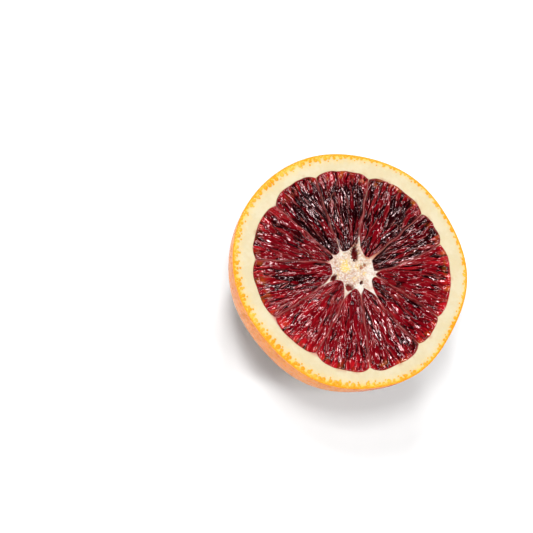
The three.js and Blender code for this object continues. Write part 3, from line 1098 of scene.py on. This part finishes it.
def face_points(rng, rim_loop, pockets):
    """Inner points for the cut face: fine over the walls and the core, coarser on the pith."""
    coarse = scatter(rng, COARSE_SPACING, FACE_RADIUS + 1)
    fine = scatter(rng, FINE_SPACING, FINE_REACH + 0.5)
    keep = (distance_from(fine, CORE_CENTRE) < CORE_REACH) | near_walls(fine)
    fine = fine[keep & (np.hypot(*fine.T) < FINE_REACH)]
    keep = (distance_from(coarse, CORE_CENTRE) > CORE_REACH + 0.2) & ~near_walls(coarse)
    coarse = coarse[keep]
    points = np.concatenate([fine, coarse])
    gap, inside = distance_to_loop(points, rim_loop)
    points = points[inside & (gap > RIM_CLEARANCE)]
    for loop in pockets:
        gap, inside = distance_to_loop(points, loop)
        points = points[~inside & (gap > POCKET_CLEARANCE)]
    return points


def split_depths(points):
    """How deep each point sinks into a slit of the core, in millimetres."""
    deep = np.zeros(len(points))
    rough = 0.42 * layered_noise(points[:, 0] * 1.5, points[:, 1] * 1.5, 57)
    for split in CORE_SPLITS:
        along, across = along_and_across(points - (split.x, split.y), math.radians(split.heading))
        along, across = along / (split.length / 2), across / (split.width / 2)
        far = np.hypot(along, across * (1 + 0.8 * np.clip(along, 0, 1))) + rough
        deep = np.maximum(deep, split.depth * (1 - smooth(0.45, 0.95, far)))
    return deep


def spot_mask(points, spots, seed, rough=0.3):
    """Soft patches with ragged edges."""
    x, y = points[:, 0], points[:, 1]
    ragged = rough * layered_noise(x * 1.5, y * 1.5, seed)
    mask = np.zeros(len(points))
    for spot in spots:
        far = np.hypot(x - spot.x, y - spot.y) / spot.radius + ragged
        mask = np.maximum(mask, spot.strength * (1 - smooth(0.35, 1.0, far)))
    return mask


class PeelPatterns(NamedTuple):
    """Patterns over the cut peel that shape both its height and its colours."""

    core: np.ndarray      # 1 on the core and the pale walls round it
    ring: np.ndarray      # 1 on the pith outside the segments
    wall: np.ndarray      # 1 on the walls between them
    sponge: np.ndarray
    speck: np.ndarray
    cells: np.ndarray     # 1 in the small hollows of the core
    lip: np.ndarray       # 1 on the raised edge of the core along a pocket
    deep: np.ndarray      # depth of the slits
    pits: np.ndarray


def peel_patterns(points, edge_gap):
    """The patterns at points of the cut face, given how far the nearest pocket is."""
    x, y = points[:, 0], points[:, 1]
    core_far = distance_from(points, CORE_CENTRE)
    core = 1 - smooth(6.2, 9.0, core_far + 1.2 * layered_noise(x * 0.4, y * 0.4, 21))
    core = np.maximum(core, spot_mask(points, PALE_WALLS, 45))
    ring = smooth(27.3, 29.0, np.hypot(x, y))
    wall = np.clip(1 - core - ring, 0.0, 1.0)
    sponge = layered_noise(x * 1.5, y * 1.5, 11)
    speck = layered_noise(x * 2.5 + 11, y * 2.5, 53, 2)
    cells = smooth(0.1, 0.5, layered_noise(x * 1.7 + 40, y * 1.7, 17))
    lip = np.exp(-((edge_gap - 0.16) / 0.13) ** 2) * core
    deep = split_depths(points)
    rib = smooth(0.0, 0.8, np.sin(7.5 * y + 1.5 * x + 2.6 * lattice_noise(x * 0.8, y * 0.8, 33)))
    deep *= 1 - 0.9 * rib * (1 - smooth(0.9, 2.4, deep)) * (y > 0)
    pits = spot_mask(points, CORE_PITS, 37)
    return PeelPatterns(core, ring, wall, sponge, speck, cells, lip, deep, pits)


def peel_height(points, edge_gap, seen):
    """Height of the cut peel over the level of the face, from its patterns."""
    x, y = points[:, 0], points[:, 1]
    rel = points - CORE_CENTRE
    core_far = np.hypot(*rel.T)
    around = np.arctan2(rel[:, 1], rel[:, 0])
    hollow = smooth(-0.2, 0.5, layered_noise(x * 0.3, y * 0.3, 27))
    height = 0.05 * layered_noise(x * 0.5, y * 0.5, 3) + 0.035 * layered_noise(x * 2.2, y * 2.2, 5)
    height -= seen.wall * (0.22 + 0.3 * hollow)
    fibre = lattice_noise(around * 9.0 + 30, core_far * 0.5, 29)
    rays = smooth(5.0, 7.5, core_far)
    grain = 0.24 * seen.sponge + 0.1 * seen.speck - 0.28 * seen.cells - 0.1
    height += seen.core * (1 - rays) * grain
    height += seen.core * rays * 0.1 * fibre
    height += 0.12 * seen.lip - 0.04 * (1 - smooth(0.0, 0.2, edge_gap))
    height -= seen.deep + 0.7 * seen.pits
    fade = smooth(0.0, 0.8, rim_radius(angle_of(points)) - np.hypot(x, y) - 1.4)
    return np.minimum(height, FACE_SLACK - 0.02) * fade


def peel_tints(points, edge_gap, seen):
    """Masks of the cut peel's colours: its walls, then yellow, void, white and stain, with painted
    shade in the slits.
    """
    x, y = points[:, 0], points[:, 1]
    void = np.clip(smooth(0.3, 1.0, seen.deep) + 0.25 * smooth(0.4, 0.8, seen.pits), 0.0, 1.0)
    patch = spot_mask(points, YELLOW_PATCHES, 41) * (1 - 0.3 * seen.cells)
    faint = 0.5 * seen.core * smooth(0.15, 0.6, layered_noise(x * 0.9, y * 0.9, 71))
    yellow = np.maximum(patch, faint)
    white = np.maximum(spot_mask(points, WHITE_PATCHES, 43), 0.75 * seen.lip)
    white = np.clip(white + seen.core * smooth(0.0, 0.45, seen.sponge + seen.speck), 0.0, 1.0)
    soaked = smooth(0.1, 0.6, layered_noise(x * 0.35, y * 0.35, 47))
    soaked *= 0.5 * (1 - smooth(0.2, 1.1, edge_gap))
    stain = np.maximum(0.35 * seen.core * smooth(0.1, 0.6, -seen.sponge - seen.speck), soaked)
    # stain at the pits is their own red-brown; the stain down the sides of the slits is painted shade
    pit_stain_and_slit_shade = 0.8 * smooth(0.25, 0.8, seen.pits) + 0.6 * smooth(0.15, 0.7, seen.deep)
    stain = np.maximum(stain, pit_stain_and_slit_shade) * (1 - 0.6 * yellow)
    stain = np.maximum(stain, 0.3 * (1 - smooth(0.0, 0.16, edge_gap)) * seen.ring)
    brown = spot_mask(points, BROWN_WALLS, 61, 0.1) * (1 - smooth(0.35, 0.6, edge_gap))
    yellow = yellow * (1 - brown)
    stain = np.maximum(stain, brown)
    white = white * (1 - brown) * (1 - smooth(0.2, 0.7, seen.pits))
    streak = layered_noise(x * 0.45 + 7, y * 0.45, 23)
    pale = np.maximum(seen.core, 0.55 * smooth(0.0, 0.6, streak))
    wall = seen.wall * (1 - 0.75 * pale) * (1 - 0.6 * brown)
    return wall, (yellow, void, white, stain)


def fill_face(rim_loop, pockets, inner):
    """Points of the cut face, those of the loops first, and the triangles between the loops."""
    loops = [rim_loop, *pockets]
    flat = np.concatenate([*loops, inner])
    edges = []
    start = 0
    for loop in loops:
        n = len(loop)
        edges += [(start + i, start + (i + 1) % n) for i in range(n)]
        start += n
    triangles, origins = delaunay_2d_cdt([Vector(p) for p in flat], edges, [], 0, 1e-7, True)[2:4]
    order = np.array([o[0] if o else -1 for o in origins])
    triangles = order[np.array(triangles)]
    triangles = triangles[(triangles >= 0).all(1)]
    middle = flat[triangles].mean(1)
    _, inside = distance_to_loop(middle, rim_loop)
    for loop in pockets:
        inside &= ~distance_to_loop(middle, loop)[1]
    triangles = triangles[inside]
    a, b, c = (flat[triangles[:, i]] for i in range(3))
    turned = np.cross(b - a, c - a) < 0
    triangles[turned] = triangles[turned][:, ::-1]
    return flat, triangles


def pocket_gap(flat, pockets):
    """Distance of each point of the cut face to the nearest pocket."""
    nearest = np.full(len(flat), FAR)
    for loop in pockets:
        still = np.flatnonzero(nearest > 0)
        gap, _ = distance_to_loop(flat[still], loop)
        nearest[still] = np.minimum(nearest[still], gap)
    return nearest


def make_pith(sizes, colours):
    """White pith, the walls between the segments and the core, with a pocket for each segment."""
    rng = np.random.default_rng(sizes.seed)
    zest = sizes.zest_width / MM
    angle = angles_round(RIM_POINTS)
    rim_loop = polar(angle, rim_radius(angle) - zest)
    pockets = [segment_outline(i, 0.0, 0.0, *POCKET_STEPS).ring() for i in range(len(MEMBRANES))]
    flat, triangles = fill_face(rim_loop, pockets, face_points(rng, rim_loop, pockets))
    edge_gap = pocket_gap(flat, pockets)
    seen = peel_patterns(flat, edge_gap)
    wall, tints = peel_tints(flat, edge_gap, seen)
    points = [np.column_stack([flat, FACE_Z + peel_height(flat, edge_gap, seen)])]
    total = len(flat)
    quads, caps = [], []

    start = RIM_POINTS
    for number, loop in enumerate(pockets):
        n = len(loop)
        above = np.arange(start, start + n)
        for ring in sunk_rings(number, 0.0, PULP_FLOOR, POCKET_LEVELS, *POCKET_STEPS):
            points.append(ring)
            below = np.arange(total, total + n)
            total += n
            quads.append(band(above, below))
            above = below
        caps.append(above[None, :])
        start += n

    above = np.arange(RIM_POINTS)
    for latitude in PITH_RINGS:
        points.append(dome_ring(latitude, RIM_POINTS, zest + PITH_GAP))
        below = np.arange(total, total + RIM_POINTS)
        total += RIM_POINTS
        quads.append(band(below, above))
        above = below
    faces = [triangles, np.concatenate(quads), above[::-1][None, :], *caps]
    mesh = build_mesh("pith", np.concatenate(points), faces, sharp_angle=55)

    angle = angle_of(flat)
    inward = rim_radius(angle) - np.hypot(flat[:, 0], flat[:, 1])
    under = np.zeros(total - len(flat))
    peel = (zest_share(angle, inward, zest), np.zeros(len(flat)), wall, seen.core)
    below_face = (under, under, under + WALL_TINT_BELOW, under)
    add_masks(mesh, "peel_masks", [np.concatenate(pair) for pair in zip(peel, below_face)])
    add_masks(mesh, "core_masks", [np.concatenate([tint, under]) for tint in tints])
    return place(mesh, "pith", bpy.data.materials.get("cut_peel") or cut_peel_material(colours))


# ---------------------------------------------------------------- pulp

PULP_INSET = 0.02                   # gap between the pulp and its walls
PULP_LEVELS = 4                     # rings of points down a segment
SEGMENT_REACH = 24.0                # length of a segment, for the count of its points
SMOOTHING_REACH = 3                 # points over which the relief is drawn out lengthwise
SAC_TRIES = 9                       # places tried for a sac on each square millimetre
SAC_MARGIN = 0.5                    # the places tried reach this far past the segment
SAC_OVERHANG = 0.3                  # a sac's middle may lie this far outside the segment
SAC_PACKING = (2.6, 1.6)            # how closely sacs may lie, end to end and side by side
DRAWS = 8                           # random numbers kept for each sac
FAN_SHARE = 0.85                    # how closely the sacs fan out from the core
HEADING_SPREAD = 0.11               # and how far their headings stray, in radians
SAC_CURVE = 0.25                    # how far a sac may curve to one side
SAC_BULGE = 1.1                     # how steeply a sac rounds off towards its sides
FOLD_HEIGHT = 0.15                  # height of the folds along a sac
CUT_SHARE = 0.75                    # share of the sacs that the knife opened
CUT_SOFTNESS = 0.12                 # height over which an opened sac turns into its cut
VEIN_WIDTH = 0.075


class Sacs(NamedTuple):
    """The juice sacs of a segment: middles, headings, half lengths, half widths and draws."""

    middle: np.ndarray
    heading: np.ndarray
    length: np.ndarray
    width: np.ndarray
    draw: np.ndarray


def scatter_sacs(rng, loop, heading_mid, plump, sizes):
    """Sacs over a segment, evenly spread, pointing roughly to the core; plump ones are wider."""
    low, high = loop.min(0) - SAC_MARGIN, loop.max(0) + SAC_MARGIN
    tries = int(np.prod(high - low) * SAC_TRIES)
    candidates = rng.uniform(low, high, (tries, 2))
    gap, inside = distance_to_loop(candidates, loop)
    candidates = candidates[inside | (gap < SAC_OVERHANG)]
    count = len(candidates)
    rel = candidates - CORE_CENTRE
    fan = np.arctan2(rel[:, 1], rel[:, 0])
    turn = (fan - heading_mid + np.pi) % (2 * np.pi) - np.pi
    heading = heading_mid + FAN_SHARE * turn + rng.normal(0, HEADING_SPREAD, count)
    radius = np.hypot(*rel.T)
    out = smooth(20.0, 28.0, radius)
    toe = 1 - smooth(8.0, 14.0, radius)
    full_length = sizes.sac_length / MM / 2
    full_width = sizes.sac_width / MM / 2 * (1 + plump)
    length = full_length * (1 - 0.5 * out - 0.35 * toe) * rng.uniform(0.65, 1.3, count)
    width = full_width * (1 + 0.25 * out - 0.25 * toe) * rng.uniform(0.6, 1.4, count)
    kept = []
    for i in range(count):
        if kept:
            along, across = along_and_across(candidates[i] - candidates[kept], heading[i])
            along = along / (length[i] + length[kept]) * SAC_PACKING[0]
            across = across / (width[i] + width[kept]) * SAC_PACKING[1]
            if (along ** 2 + across ** 2 < 1.0).any():
                continue
        kept.append(i)
    draws = rng.uniform(0, 1, (len(kept), DRAWS))
    return Sacs(candidates[kept], heading[kept], length[kept], width[kept], draws)


def sac_surface(along, across, length, width, taper, level, draw, rough, seed, number):
    """Height of one sac at points on it, and its pale line: painted highlight on its folds' crests,
    its wall at a cut edge.
    """
    share = across / taper
    crest = level - (0.3 + 0.9 * rough) * draw[0] ** 1.3 - 0.35 * along ** 2
    round_off = np.sqrt(1 - share ** 2)
    body = crest - SAC_BULGE * taper * (1 - round_off)
    fold = lattice_noise(share * 1.3 + 7.3 * number, along * length * 0.2 + 0.5 * share, seed)
    fold += 0.55 * lattice_noise(share * 3.2 + 3.1 * number, along * length * 0.42, seed + 1)
    body += FOLD_HEIGHT * fold * (1 - share ** 2)
    # pale line along the crests of the folds: painted highlight
    line = 0.4 * smooth(0.5, 0.75, fold) * (1 - share ** 2)
    if draw[1] < CUT_SHARE:
        lean = (draw[3] - 0.5) * 0.7
        plane = crest - (0.12 + 0.3 * draw[2]) * width + lean * across + 0.75 * FOLD_HEIGHT * fold
        plane += (draw[4] - 0.5) * 0.12 * along * length
        over = body - plane
        cut = smooth(0.0, CUT_SOFTNESS, over)
        body = np.where(over > 0, plane - 0.05 * cut, body)
        steep = np.abs(-SAC_BULGE * share / (round_off + 0.05) - lean) + 0.2
        edge_line = np.exp(-(over / (CUT_SOFTNESS * steep)) ** 2)
        body += 0.07 * edge_line
        line = np.maximum(line * (1 - cut), edge_line * (draw[7] > 0.4))
    return body, line


def lay_sacs(points, sacs, level, rough, seed):
    """Lays every sac over the last: the top surface, its lead over the next, owner and lines."""
    top = level - 0.8 - 1.1 * rough
    second = top.copy()
    owner = np.full(len(points), -1)
    lines = np.zeros(len(points))
    for i, (middle, heading, length, width, draw) in enumerate(zip(*sacs)):
        gap = points - middle
        near = np.flatnonzero(np.abs(gap).max(1) < length)
        along, across = along_and_across(gap[near], heading)
        along = along / length
        across = across + (draw[5] - 0.5) * SAC_CURVE * length * along ** 2
        taper = width * np.clip(1 - np.abs(along) ** 1.6, 1e-6, None) ** 0.9 * (0.9 + 0.25 * along)
        within = (np.abs(along) < 1) & (np.abs(across) < taper)
        near, along, across, taper = near[within], along[within], across[within], taper[within]
        body, line = sac_surface(
            along, across, length, width, taper, level[near], draw, rough, seed, i)
        wins = body > top[near]
        hit, lost = near[wins], near[~wins]
        second[hit] = top[hit]
        top[hit] = body[wins]
        second[lost] = np.maximum(second[lost], body[~wins])
        owner[hit] = i
        lines[hit] = line[wins]
    return top, top - second, owner, lines


def vein_lines(out, side, seed):
    """Thin wavy lines that mostly run outwards: 1 on a line and 0 a little way off it."""
    step = 0.05

    def field(o, s):
        return layered_noise(o * 0.2, s * 0.5, seed, 2)

    here = field(out, side)
    slope = np.hypot(field(out + step, side) - here, field(out, side + step) - here) / step
    return np.exp(-(here / (VEIN_WIDTH * slope + 0.001)) ** 2)


def bent_points(points, out, side, heading, seed):
    """The points shifted in slow waves, so that sacs laid over them bend and wander."""
    along = 0.5 * lattice_noise(out * 0.3, side * 0.6, seed + 1)
    across = 0.42 * lattice_noise(out * 0.2, side * 0.45, seed + 2)
    across += 0.1 * lattice_noise(out * 0.8, side * 1.5, seed + 3)
    c, s = math.cos(heading), math.sin(heading)
    return points + np.outer(along, (c, s)) + np.outer(across, (-s, c))


def pulp_surface(points, index, sacs, loop, heading_mid, seed):
    """Height of the pulp and its masks: sac walls and painted highlight, red with painted shade,
    orange tint, veins.
    """
    membrane = MEMBRANES[index]
    rel = points - CORE_CENTRE
    out, side = along_and_across(rel, heading_mid)
    bent = bent_points(points, out, side, heading_mid, seed)
    level = 0.22 + 0.35 * layered_noise(out * 0.14, side * 0.3, seed + 4)
    reach = membrane.pulp_radius
    rim = smooth(reach - 6.0, reach - 0.6, np.hypot(*rel.T))
    rough = float(smooth(0.3, 0.85, membrane.ripeness))
    top, lead, owner, lines = lay_sacs(bent, sacs, level, rough, seed + 21)

    edge, _ = distance_to_loop(points, loop)
    wrinkle = lattice_noise(out * 0.7, side * 3.0, seed + 5)
    wrinkle += 0.6 * lattice_noise(out * 1.6, side * 6.0, seed + 6)
    height = top + 0.02 * wrinkle
    height += np.clip(0.18 - height, 0.0, None) * np.exp(-(edge / 0.2) ** 2)
    skin = np.exp(-(edge / 0.3) ** 2)
    # creases between sacs and sacs sunk below the level, both darkened below as painted shade
    crease = (1 - smooth(0.02, 0.22, lead)) * (1 - skin)
    deep = smooth(0.3, 1.1, level - top) * (1 - skin)

    tone = np.append(sacs.draw[:, 6], 0.5)[owner]
    patch = layered_noise(out * 0.16 + index, side * 0.24, seed + 9)
    pigment_and_shade = membrane.ripeness + 0.2 * (tone - 0.5) + 0.36 * patch - 0.36 * rim
    # painted shade: darker in the creases between sacs and where a sac lies sunk
    pigment_and_shade += 0.4 * crease + 0.6 * deep

    fade = smooth(-0.3, 0.5, layered_noise(out * 0.35 + 9, side * 0.8, seed + 12))
    broken = layered_noise(out * 0.25 + 3, side * 0.9, seed + 14) - 0.15
    beside = np.exp(-((lead - 0.12) / 0.05) ** 2) * smooth(0.1, 0.45, broken)
    # sac walls with the folds' painted highlight, and the walls beside the creases
    line = np.maximum(0.48 * lines * fade * (1 - 0.7 * crease), 0.7 * beside)
    uneven = layered_noise(points[:, 0] * 0.5, points[:, 1] * 0.5, seed + 16)
    rind_line = np.exp(-(edge / 0.22) ** 2) * smooth(-0.4, 0.3, uneven)
    line = np.maximum(line, 0.5 * rind_line)

    tinted = smooth(0.0, 0.45, layered_noise(out * 0.35, side * 0.35, seed + 15))
    orange = 0.85 * membrane.warmth * smooth(0.5, 0.95, rim) * tinted
    veined = smooth(0.25, 0.6, layered_noise(out * 0.12 + 4, side * 0.2, seed + 19) + 0.25 * rim)
    vein = 0.45 * vein_lines(out, side, seed + 17) * veined
    pale = 0.6 + 0.4 * rough
    pigment_and_shade, orange = np.clip(pigment_and_shade, 0.0, 1.0), np.clip(orange, 0.0, 1.0)
    return height, (pale * line, pigment_and_shade, orange, pale * vein)


def drawn_out(height, reach):
    """The height of a grid smoothed along its first axis, so that the relief runs lengthwise."""
    weights = reach + 1 - np.abs(np.arange(-reach, reach + 1))
    padded = np.pad(height, ((reach, reach), (0, 0)), mode="edge")
    total = sum(weight * padded[i:i + len(height)] for i, weight in enumerate(weights))
    return total / weights.sum()


def segment_grid(edges, along_steps, across_steps):
    """Points that fill a segment between its four edges, out from the core and across."""
    v = np.linspace(0.0, 1.0, along_steps)[:, None, None] ** CROWDING
    u = np.linspace(0.0, 1.0, across_steps)[None, :, None]
    sides = (1 - u) * edges.right[:, None] + u * edges.left[:, None]
    ends = (1 - v) * edges.toe[None] + v * edges.outer[None]
    corners = ((1 - u) * (1 - v) * edges.right[0] + (1 - u) * v * edges.right[-1]
               + u * (1 - v) * edges.left[0] + u * v * edges.left[-1])
    return (sides + ends - corners).reshape(-1, 2)


def segment_angle(index):
    """Degrees between the two walls of a segment at the rim."""
    following = MEMBRANES[(index + 1) % len(MEMBRANES)]
    return (following.rim_angle - MEMBRANES[index].rim_angle) % 360.0


def make_segment(index, sizes, material):
    """The pulp of one segment: a closed body with its juice sacs in relief on top."""
    spacing = sizes.pulp_spacing / MM
    width = 2 * SEGMENT_REACH * math.sin(math.radians(segment_angle(index)) / 2)
    steps = (int(SEGMENT_REACH / spacing), int(width / spacing))
    edges = segment_outline(index, 0.0, PULP_INSET, *steps)
    grid = segment_grid(edges, *steps)
    loop = edges.ring()
    middle = loop.mean(0) - CORE_CENTRE
    heading_mid = math.atan2(middle[1], middle[0])
    seed = sizes.seed * 100 + index * 7
    rng = np.random.default_rng(seed)
    plump = 0.8 * max(0.0, 0.7 - MEMBRANES[index].ripeness)
    sacs = scatter_sacs(rng, loop[::4], heading_mid, plump, sizes)
    height, masks = pulp_surface(grid, index, sacs, loop[::3], heading_mid, seed)
    height = drawn_out(height.reshape(steps), SMOOTHING_REACH).ravel()
    top = FACE_Z + np.minimum(height - sizes.pulp_drop / MM, FACE_SLACK - 0.02)
    points = [np.column_stack([grid, top])]

    rows = np.arange(len(grid)).reshape(steps)
    squares = np.stack([rows[:-1, :-1], rows[1:, :-1], rows[1:, 1:], rows[:-1, 1:]], -1)
    quads = [squares.reshape(-1, 4)[:, ::-1]]
    above = np.concatenate([rows[:-1, 0], rows[-1, :-1], rows[::-1, -1][:-1], rows[0, ::-1][:-1]])
    total = rows.size
    for ring in sunk_rings(index, PULP_INSET, PULP_FLOOR - 0.02, PULP_LEVELS, *steps):
        points.append(ring)
        below = np.arange(total, total + len(ring))
        total += len(ring)
        quads.append(np.stack([above, below, np.roll(below, -1), np.roll(above, -1)], 1))
        above = below
    faces = [np.concatenate(quads), above[::-1][None, :]]
    mesh = build_mesh(f"pulp_{index + 1:02d}", np.concatenate(points), faces, sharp_angle=75)
    full = [np.concatenate([mask, np.full(total - rows.size, mask.mean())]) for mask in masks]
    add_masks(mesh, "pulp_masks", full)
    return place(mesh, f"pulp_{index + 1:02d}", material)


# ---------------------------------------------------------------- stage

FACE_TILT = math.radians(24.4)           # the camera stands this far off the cut face's normal
TILT_HEADING = math.radians(43.1 + 180)  # and leans towards this side of the face
RENDER_PIXELS = 533                      # width and height of the render
FACE_PIXELS = 122.7                      # radius of the face in it
FACE_PIXEL_PLACE = (350.6, 270.0)        # and the face's middle
SENSOR_WIDTH = 36.0                      # of the camera, in millimetres

KEY_PLACE = (-0.24, -0.02, 0.86)
KEY_SIZE = 0.2
LOW_PLACE = (-0.45, -0.55, 0.2)
LOW_SIZE = 0.3
GLINT_SIZE = 0.12                        # small lights all round, so that every sac catches one
GLINT_PLACES = (
    (-0.32, 0.26, 0.8), (-0.13, 0.47, 0.67), (0.1, 0.6, 0.5), (0.5, -0.25, 0.55),
    (0.13, -0.27, 0.88),
)
FLOOR_REACH = 1.5                        # half of the floor's width, in metres


def make_camera(settings):
    """Camera that looks down on the cut face."""
    axis = Vector((-math.sin(TILT_HEADING), math.cos(TILT_HEADING), 0.0))
    turn = Matrix.Rotation(FACE_TILT, 3, axis)
    right, up, back = turn @ Vector((1, 0, 0)), turn @ Vector((0, 1, 0)), turn @ Vector((0, 0, 1))
    camera = bpy.data.objects.new("camera", bpy.data.cameras.new("camera"))
    bpy.context.scene.collection.objects.link(camera)
    per_pixel = FACE_RADIUS * MM / FACE_PIXELS
    middle = RENDER_PIXELS / 2
    aim = Vector((0, 0, FACE_Z * MM))
    aim -= right * (FACE_PIXEL_PLACE[0] - middle) * per_pixel
    aim += up * (FACE_PIXEL_PLACE[1] - middle) * per_pixel
    pose = Matrix((right, up, back)).transposed().to_4x4()
    pose.translation = aim + back * settings.distance
    camera.matrix_world = pose
    camera.data.sensor_width = SENSOR_WIDTH
    camera.data.lens = SENSOR_WIDTH * settings.distance / (per_pixel * RENDER_PIXELS)
    bpy.context.scene.camera = camera


def area_light(name, place_at, size, power):
    """A square soft light at a place, turned to the middle of the cut face."""
    data = bpy.data.lights.new(name, "AREA")
    data.shape = "SQUARE"
    data.size = size
    data.energy = power
    light = bpy.data.objects.new(name, data)
    light.location = place_at
    gaze = Vector((0.0, 0.0, FACE_Z * MM)) - Vector(place_at)
    light.rotation_euler = gaze.to_track_quat("-Z", "Y").to_euler()
    bpy.context.scene.collection.objects.link(light)


def make_sky(settings):
    """An even white sky, dimmer overhead and in reflections, so that wet flats stay dark."""
    world = bpy.data.worlds.new("sky")
    world.use_nodes = True
    nodes = Nodes(world.node_tree)
    background = world.node_tree.nodes["Background"]
    background.inputs["Color"].default_value = (1.0, 1.0, 1.0, 1.0)
    split = nodes.add("ShaderNodeSeparateXYZ")
    nodes.link(nodes.add("ShaderNodeTexCoord").outputs["Generated"], split.inputs[0])
    strength = nodes.ramp(split.outputs["Z"], 0.35, 0.8, settings.sky, settings.sky_overhead)
    seen_by = nodes.add("ShaderNodeLightPath")
    flagged = nodes.math("MULTIPLY_ADD", seen_by.outputs["Is Glossy Ray"], -settings.sky_flag, 1.0)
    nodes.link(nodes.math("MULTIPLY", strength, flagged), background.inputs["Strength"])
    bpy.context.scene.world = world


def make_stage(settings):
    """Pale floor, even sky, one large soft light and a few small ones."""
    reach = FLOOR_REACH
    corners = [(-reach, -reach, 0.0), (reach, -reach, 0.0), (reach, reach, 0.0), (-reach, reach, 0.0)]
    mesh = bpy.data.meshes.new("floor")
    mesh.from_pydata(corners, [], [(0, 1, 2, 3)])
    material, _, surface = new_material("pale_floor")
    set_inputs(surface, {"Base Color": as_rgba(settings.floor), "Roughness": 0.8})
    place(mesh, "floor", material)

    make_sky(settings)
    bpy.context.scene.view_settings.view_transform = "Standard"
    area_light("key", KEY_PLACE, KEY_SIZE, settings.key_power)
    for number, place_at in enumerate(GLINT_PLACES):
        area_light(f"glint_{number + 1}", place_at, GLINT_SIZE, settings.glint_power)
    area_light("side_low", LOW_PLACE, LOW_SIZE, settings.low_power)
    make_camera(settings)


# ---------------------------------------------------------------- operators and panel

class FRUIT_OT_rind(bpy.types.Operator):
    """Makes the coloured rind"""

    bl_idname = "fruit.rind"
    bl_label = "Rind"

    def execute(self, context):
        piece = make_rind(context.scene.fruit_sizes, context.scene.fruit_colours)
        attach(piece, "root")
        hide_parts("peel")
        return {"FINISHED"}


class FRUIT_OT_glands(bpy.types.Operator):
    """Makes the oil glands cut open along the rim"""

    bl_idname = "fruit.glands"
    bl_label = "Oil glands"

    def execute(self, context):
        piece = make_glands(context.scene.fruit_sizes, context.scene.fruit_colours)
        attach(piece, "root")
        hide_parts("peel")
        return {"FINISHED"}


class FRUIT_OT_pith(bpy.types.Operator):
    """Makes the pith, the walls between the segments and the core"""

    bl_idname = "fruit.pith"
    bl_label = "Pith and core"

    def execute(self, context):
        piece = make_pith(context.scene.fruit_sizes, context.scene.fruit_colours)
        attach(piece, "root")
        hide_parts("peel")
        return {"FINISHED"}


class FRUIT_OT_pulp(bpy.types.Operator):
    """Makes the pulp of every segment"""

    bl_idname = "fruit.pulp"
    bl_label = "Pulp"

    def execute(self, context):
        material = pulp_material(context.scene.fruit_colours)
        for index in range(len(MEMBRANES)):
            piece = make_segment(index, context.scene.fruit_sizes, material)
            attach(piece, "root")
            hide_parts(f"segment_{index + 1:02d}")
        return {"FINISHED"}


class FRUIT_OT_stage(bpy.types.Operator):
    """Makes the floor, lights and camera"""

    bl_idname = "fruit.stage"
    bl_label = "Stage"

    def execute(self, context):
        make_stage(context.scene.fruit_stage)
        return {"FINISHED"}


class FRUIT_PT_panel(bpy.types.Panel):
    """Lists the pieces and their settings"""

    bl_label = "Blood orange half"
    bl_idname = "FRUIT_PT_panel"
    bl_space_type = "VIEW_3D"
    bl_region_type = "UI"
    bl_category = "Fruit"

    def draw(self, context):
        for operator in OPERATORS:
            self.layout.operator(operator.bl_idname)
        scene = context.scene
        for group in (scene.fruit_sizes, scene.fruit_colours, scene.fruit_stage):
            box = self.layout.box()
            for name in group.bl_rna.properties.keys():
                if name not in ("rna_type", "name"):
                    box.prop(group, name)


SETTINGS = (FruitSizes, FruitColours, StageSettings)
OPERATORS = (FRUIT_OT_rind, FRUIT_OT_glands, FRUIT_OT_pith, FRUIT_OT_pulp, FRUIT_OT_stage)


def register():
    """Registers the classes and adds their settings to the scene."""
    for cls in (*SETTINGS, *OPERATORS, FRUIT_PT_panel):
        bpy.utils.register_class(cls)
    bpy.types.Scene.fruit_sizes = PointerProperty(type=FruitSizes)
    bpy.types.Scene.fruit_colours = PointerProperty(type=FruitColours)
    bpy.types.Scene.fruit_stage = PointerProperty(type=StageSettings)


def unregister():
    """Takes back what register does."""
    del bpy.types.Scene.fruit_sizes
    del bpy.types.Scene.fruit_colours
    del bpy.types.Scene.fruit_stage
    for cls in reversed((*SETTINGS, *OPERATORS, FRUIT_PT_panel)):
        bpy.utils.unregister_class(cls)


def main():
    """Builds everything in order."""
    register()
    bpy.ops.fruit.rind()
    bpy.ops.fruit.glands()
    bpy.ops.fruit.pith()
    bpy.ops.fruit.pulp()
    bpy.ops.fruit.stage()


if __name__ == "__main__":
    main()
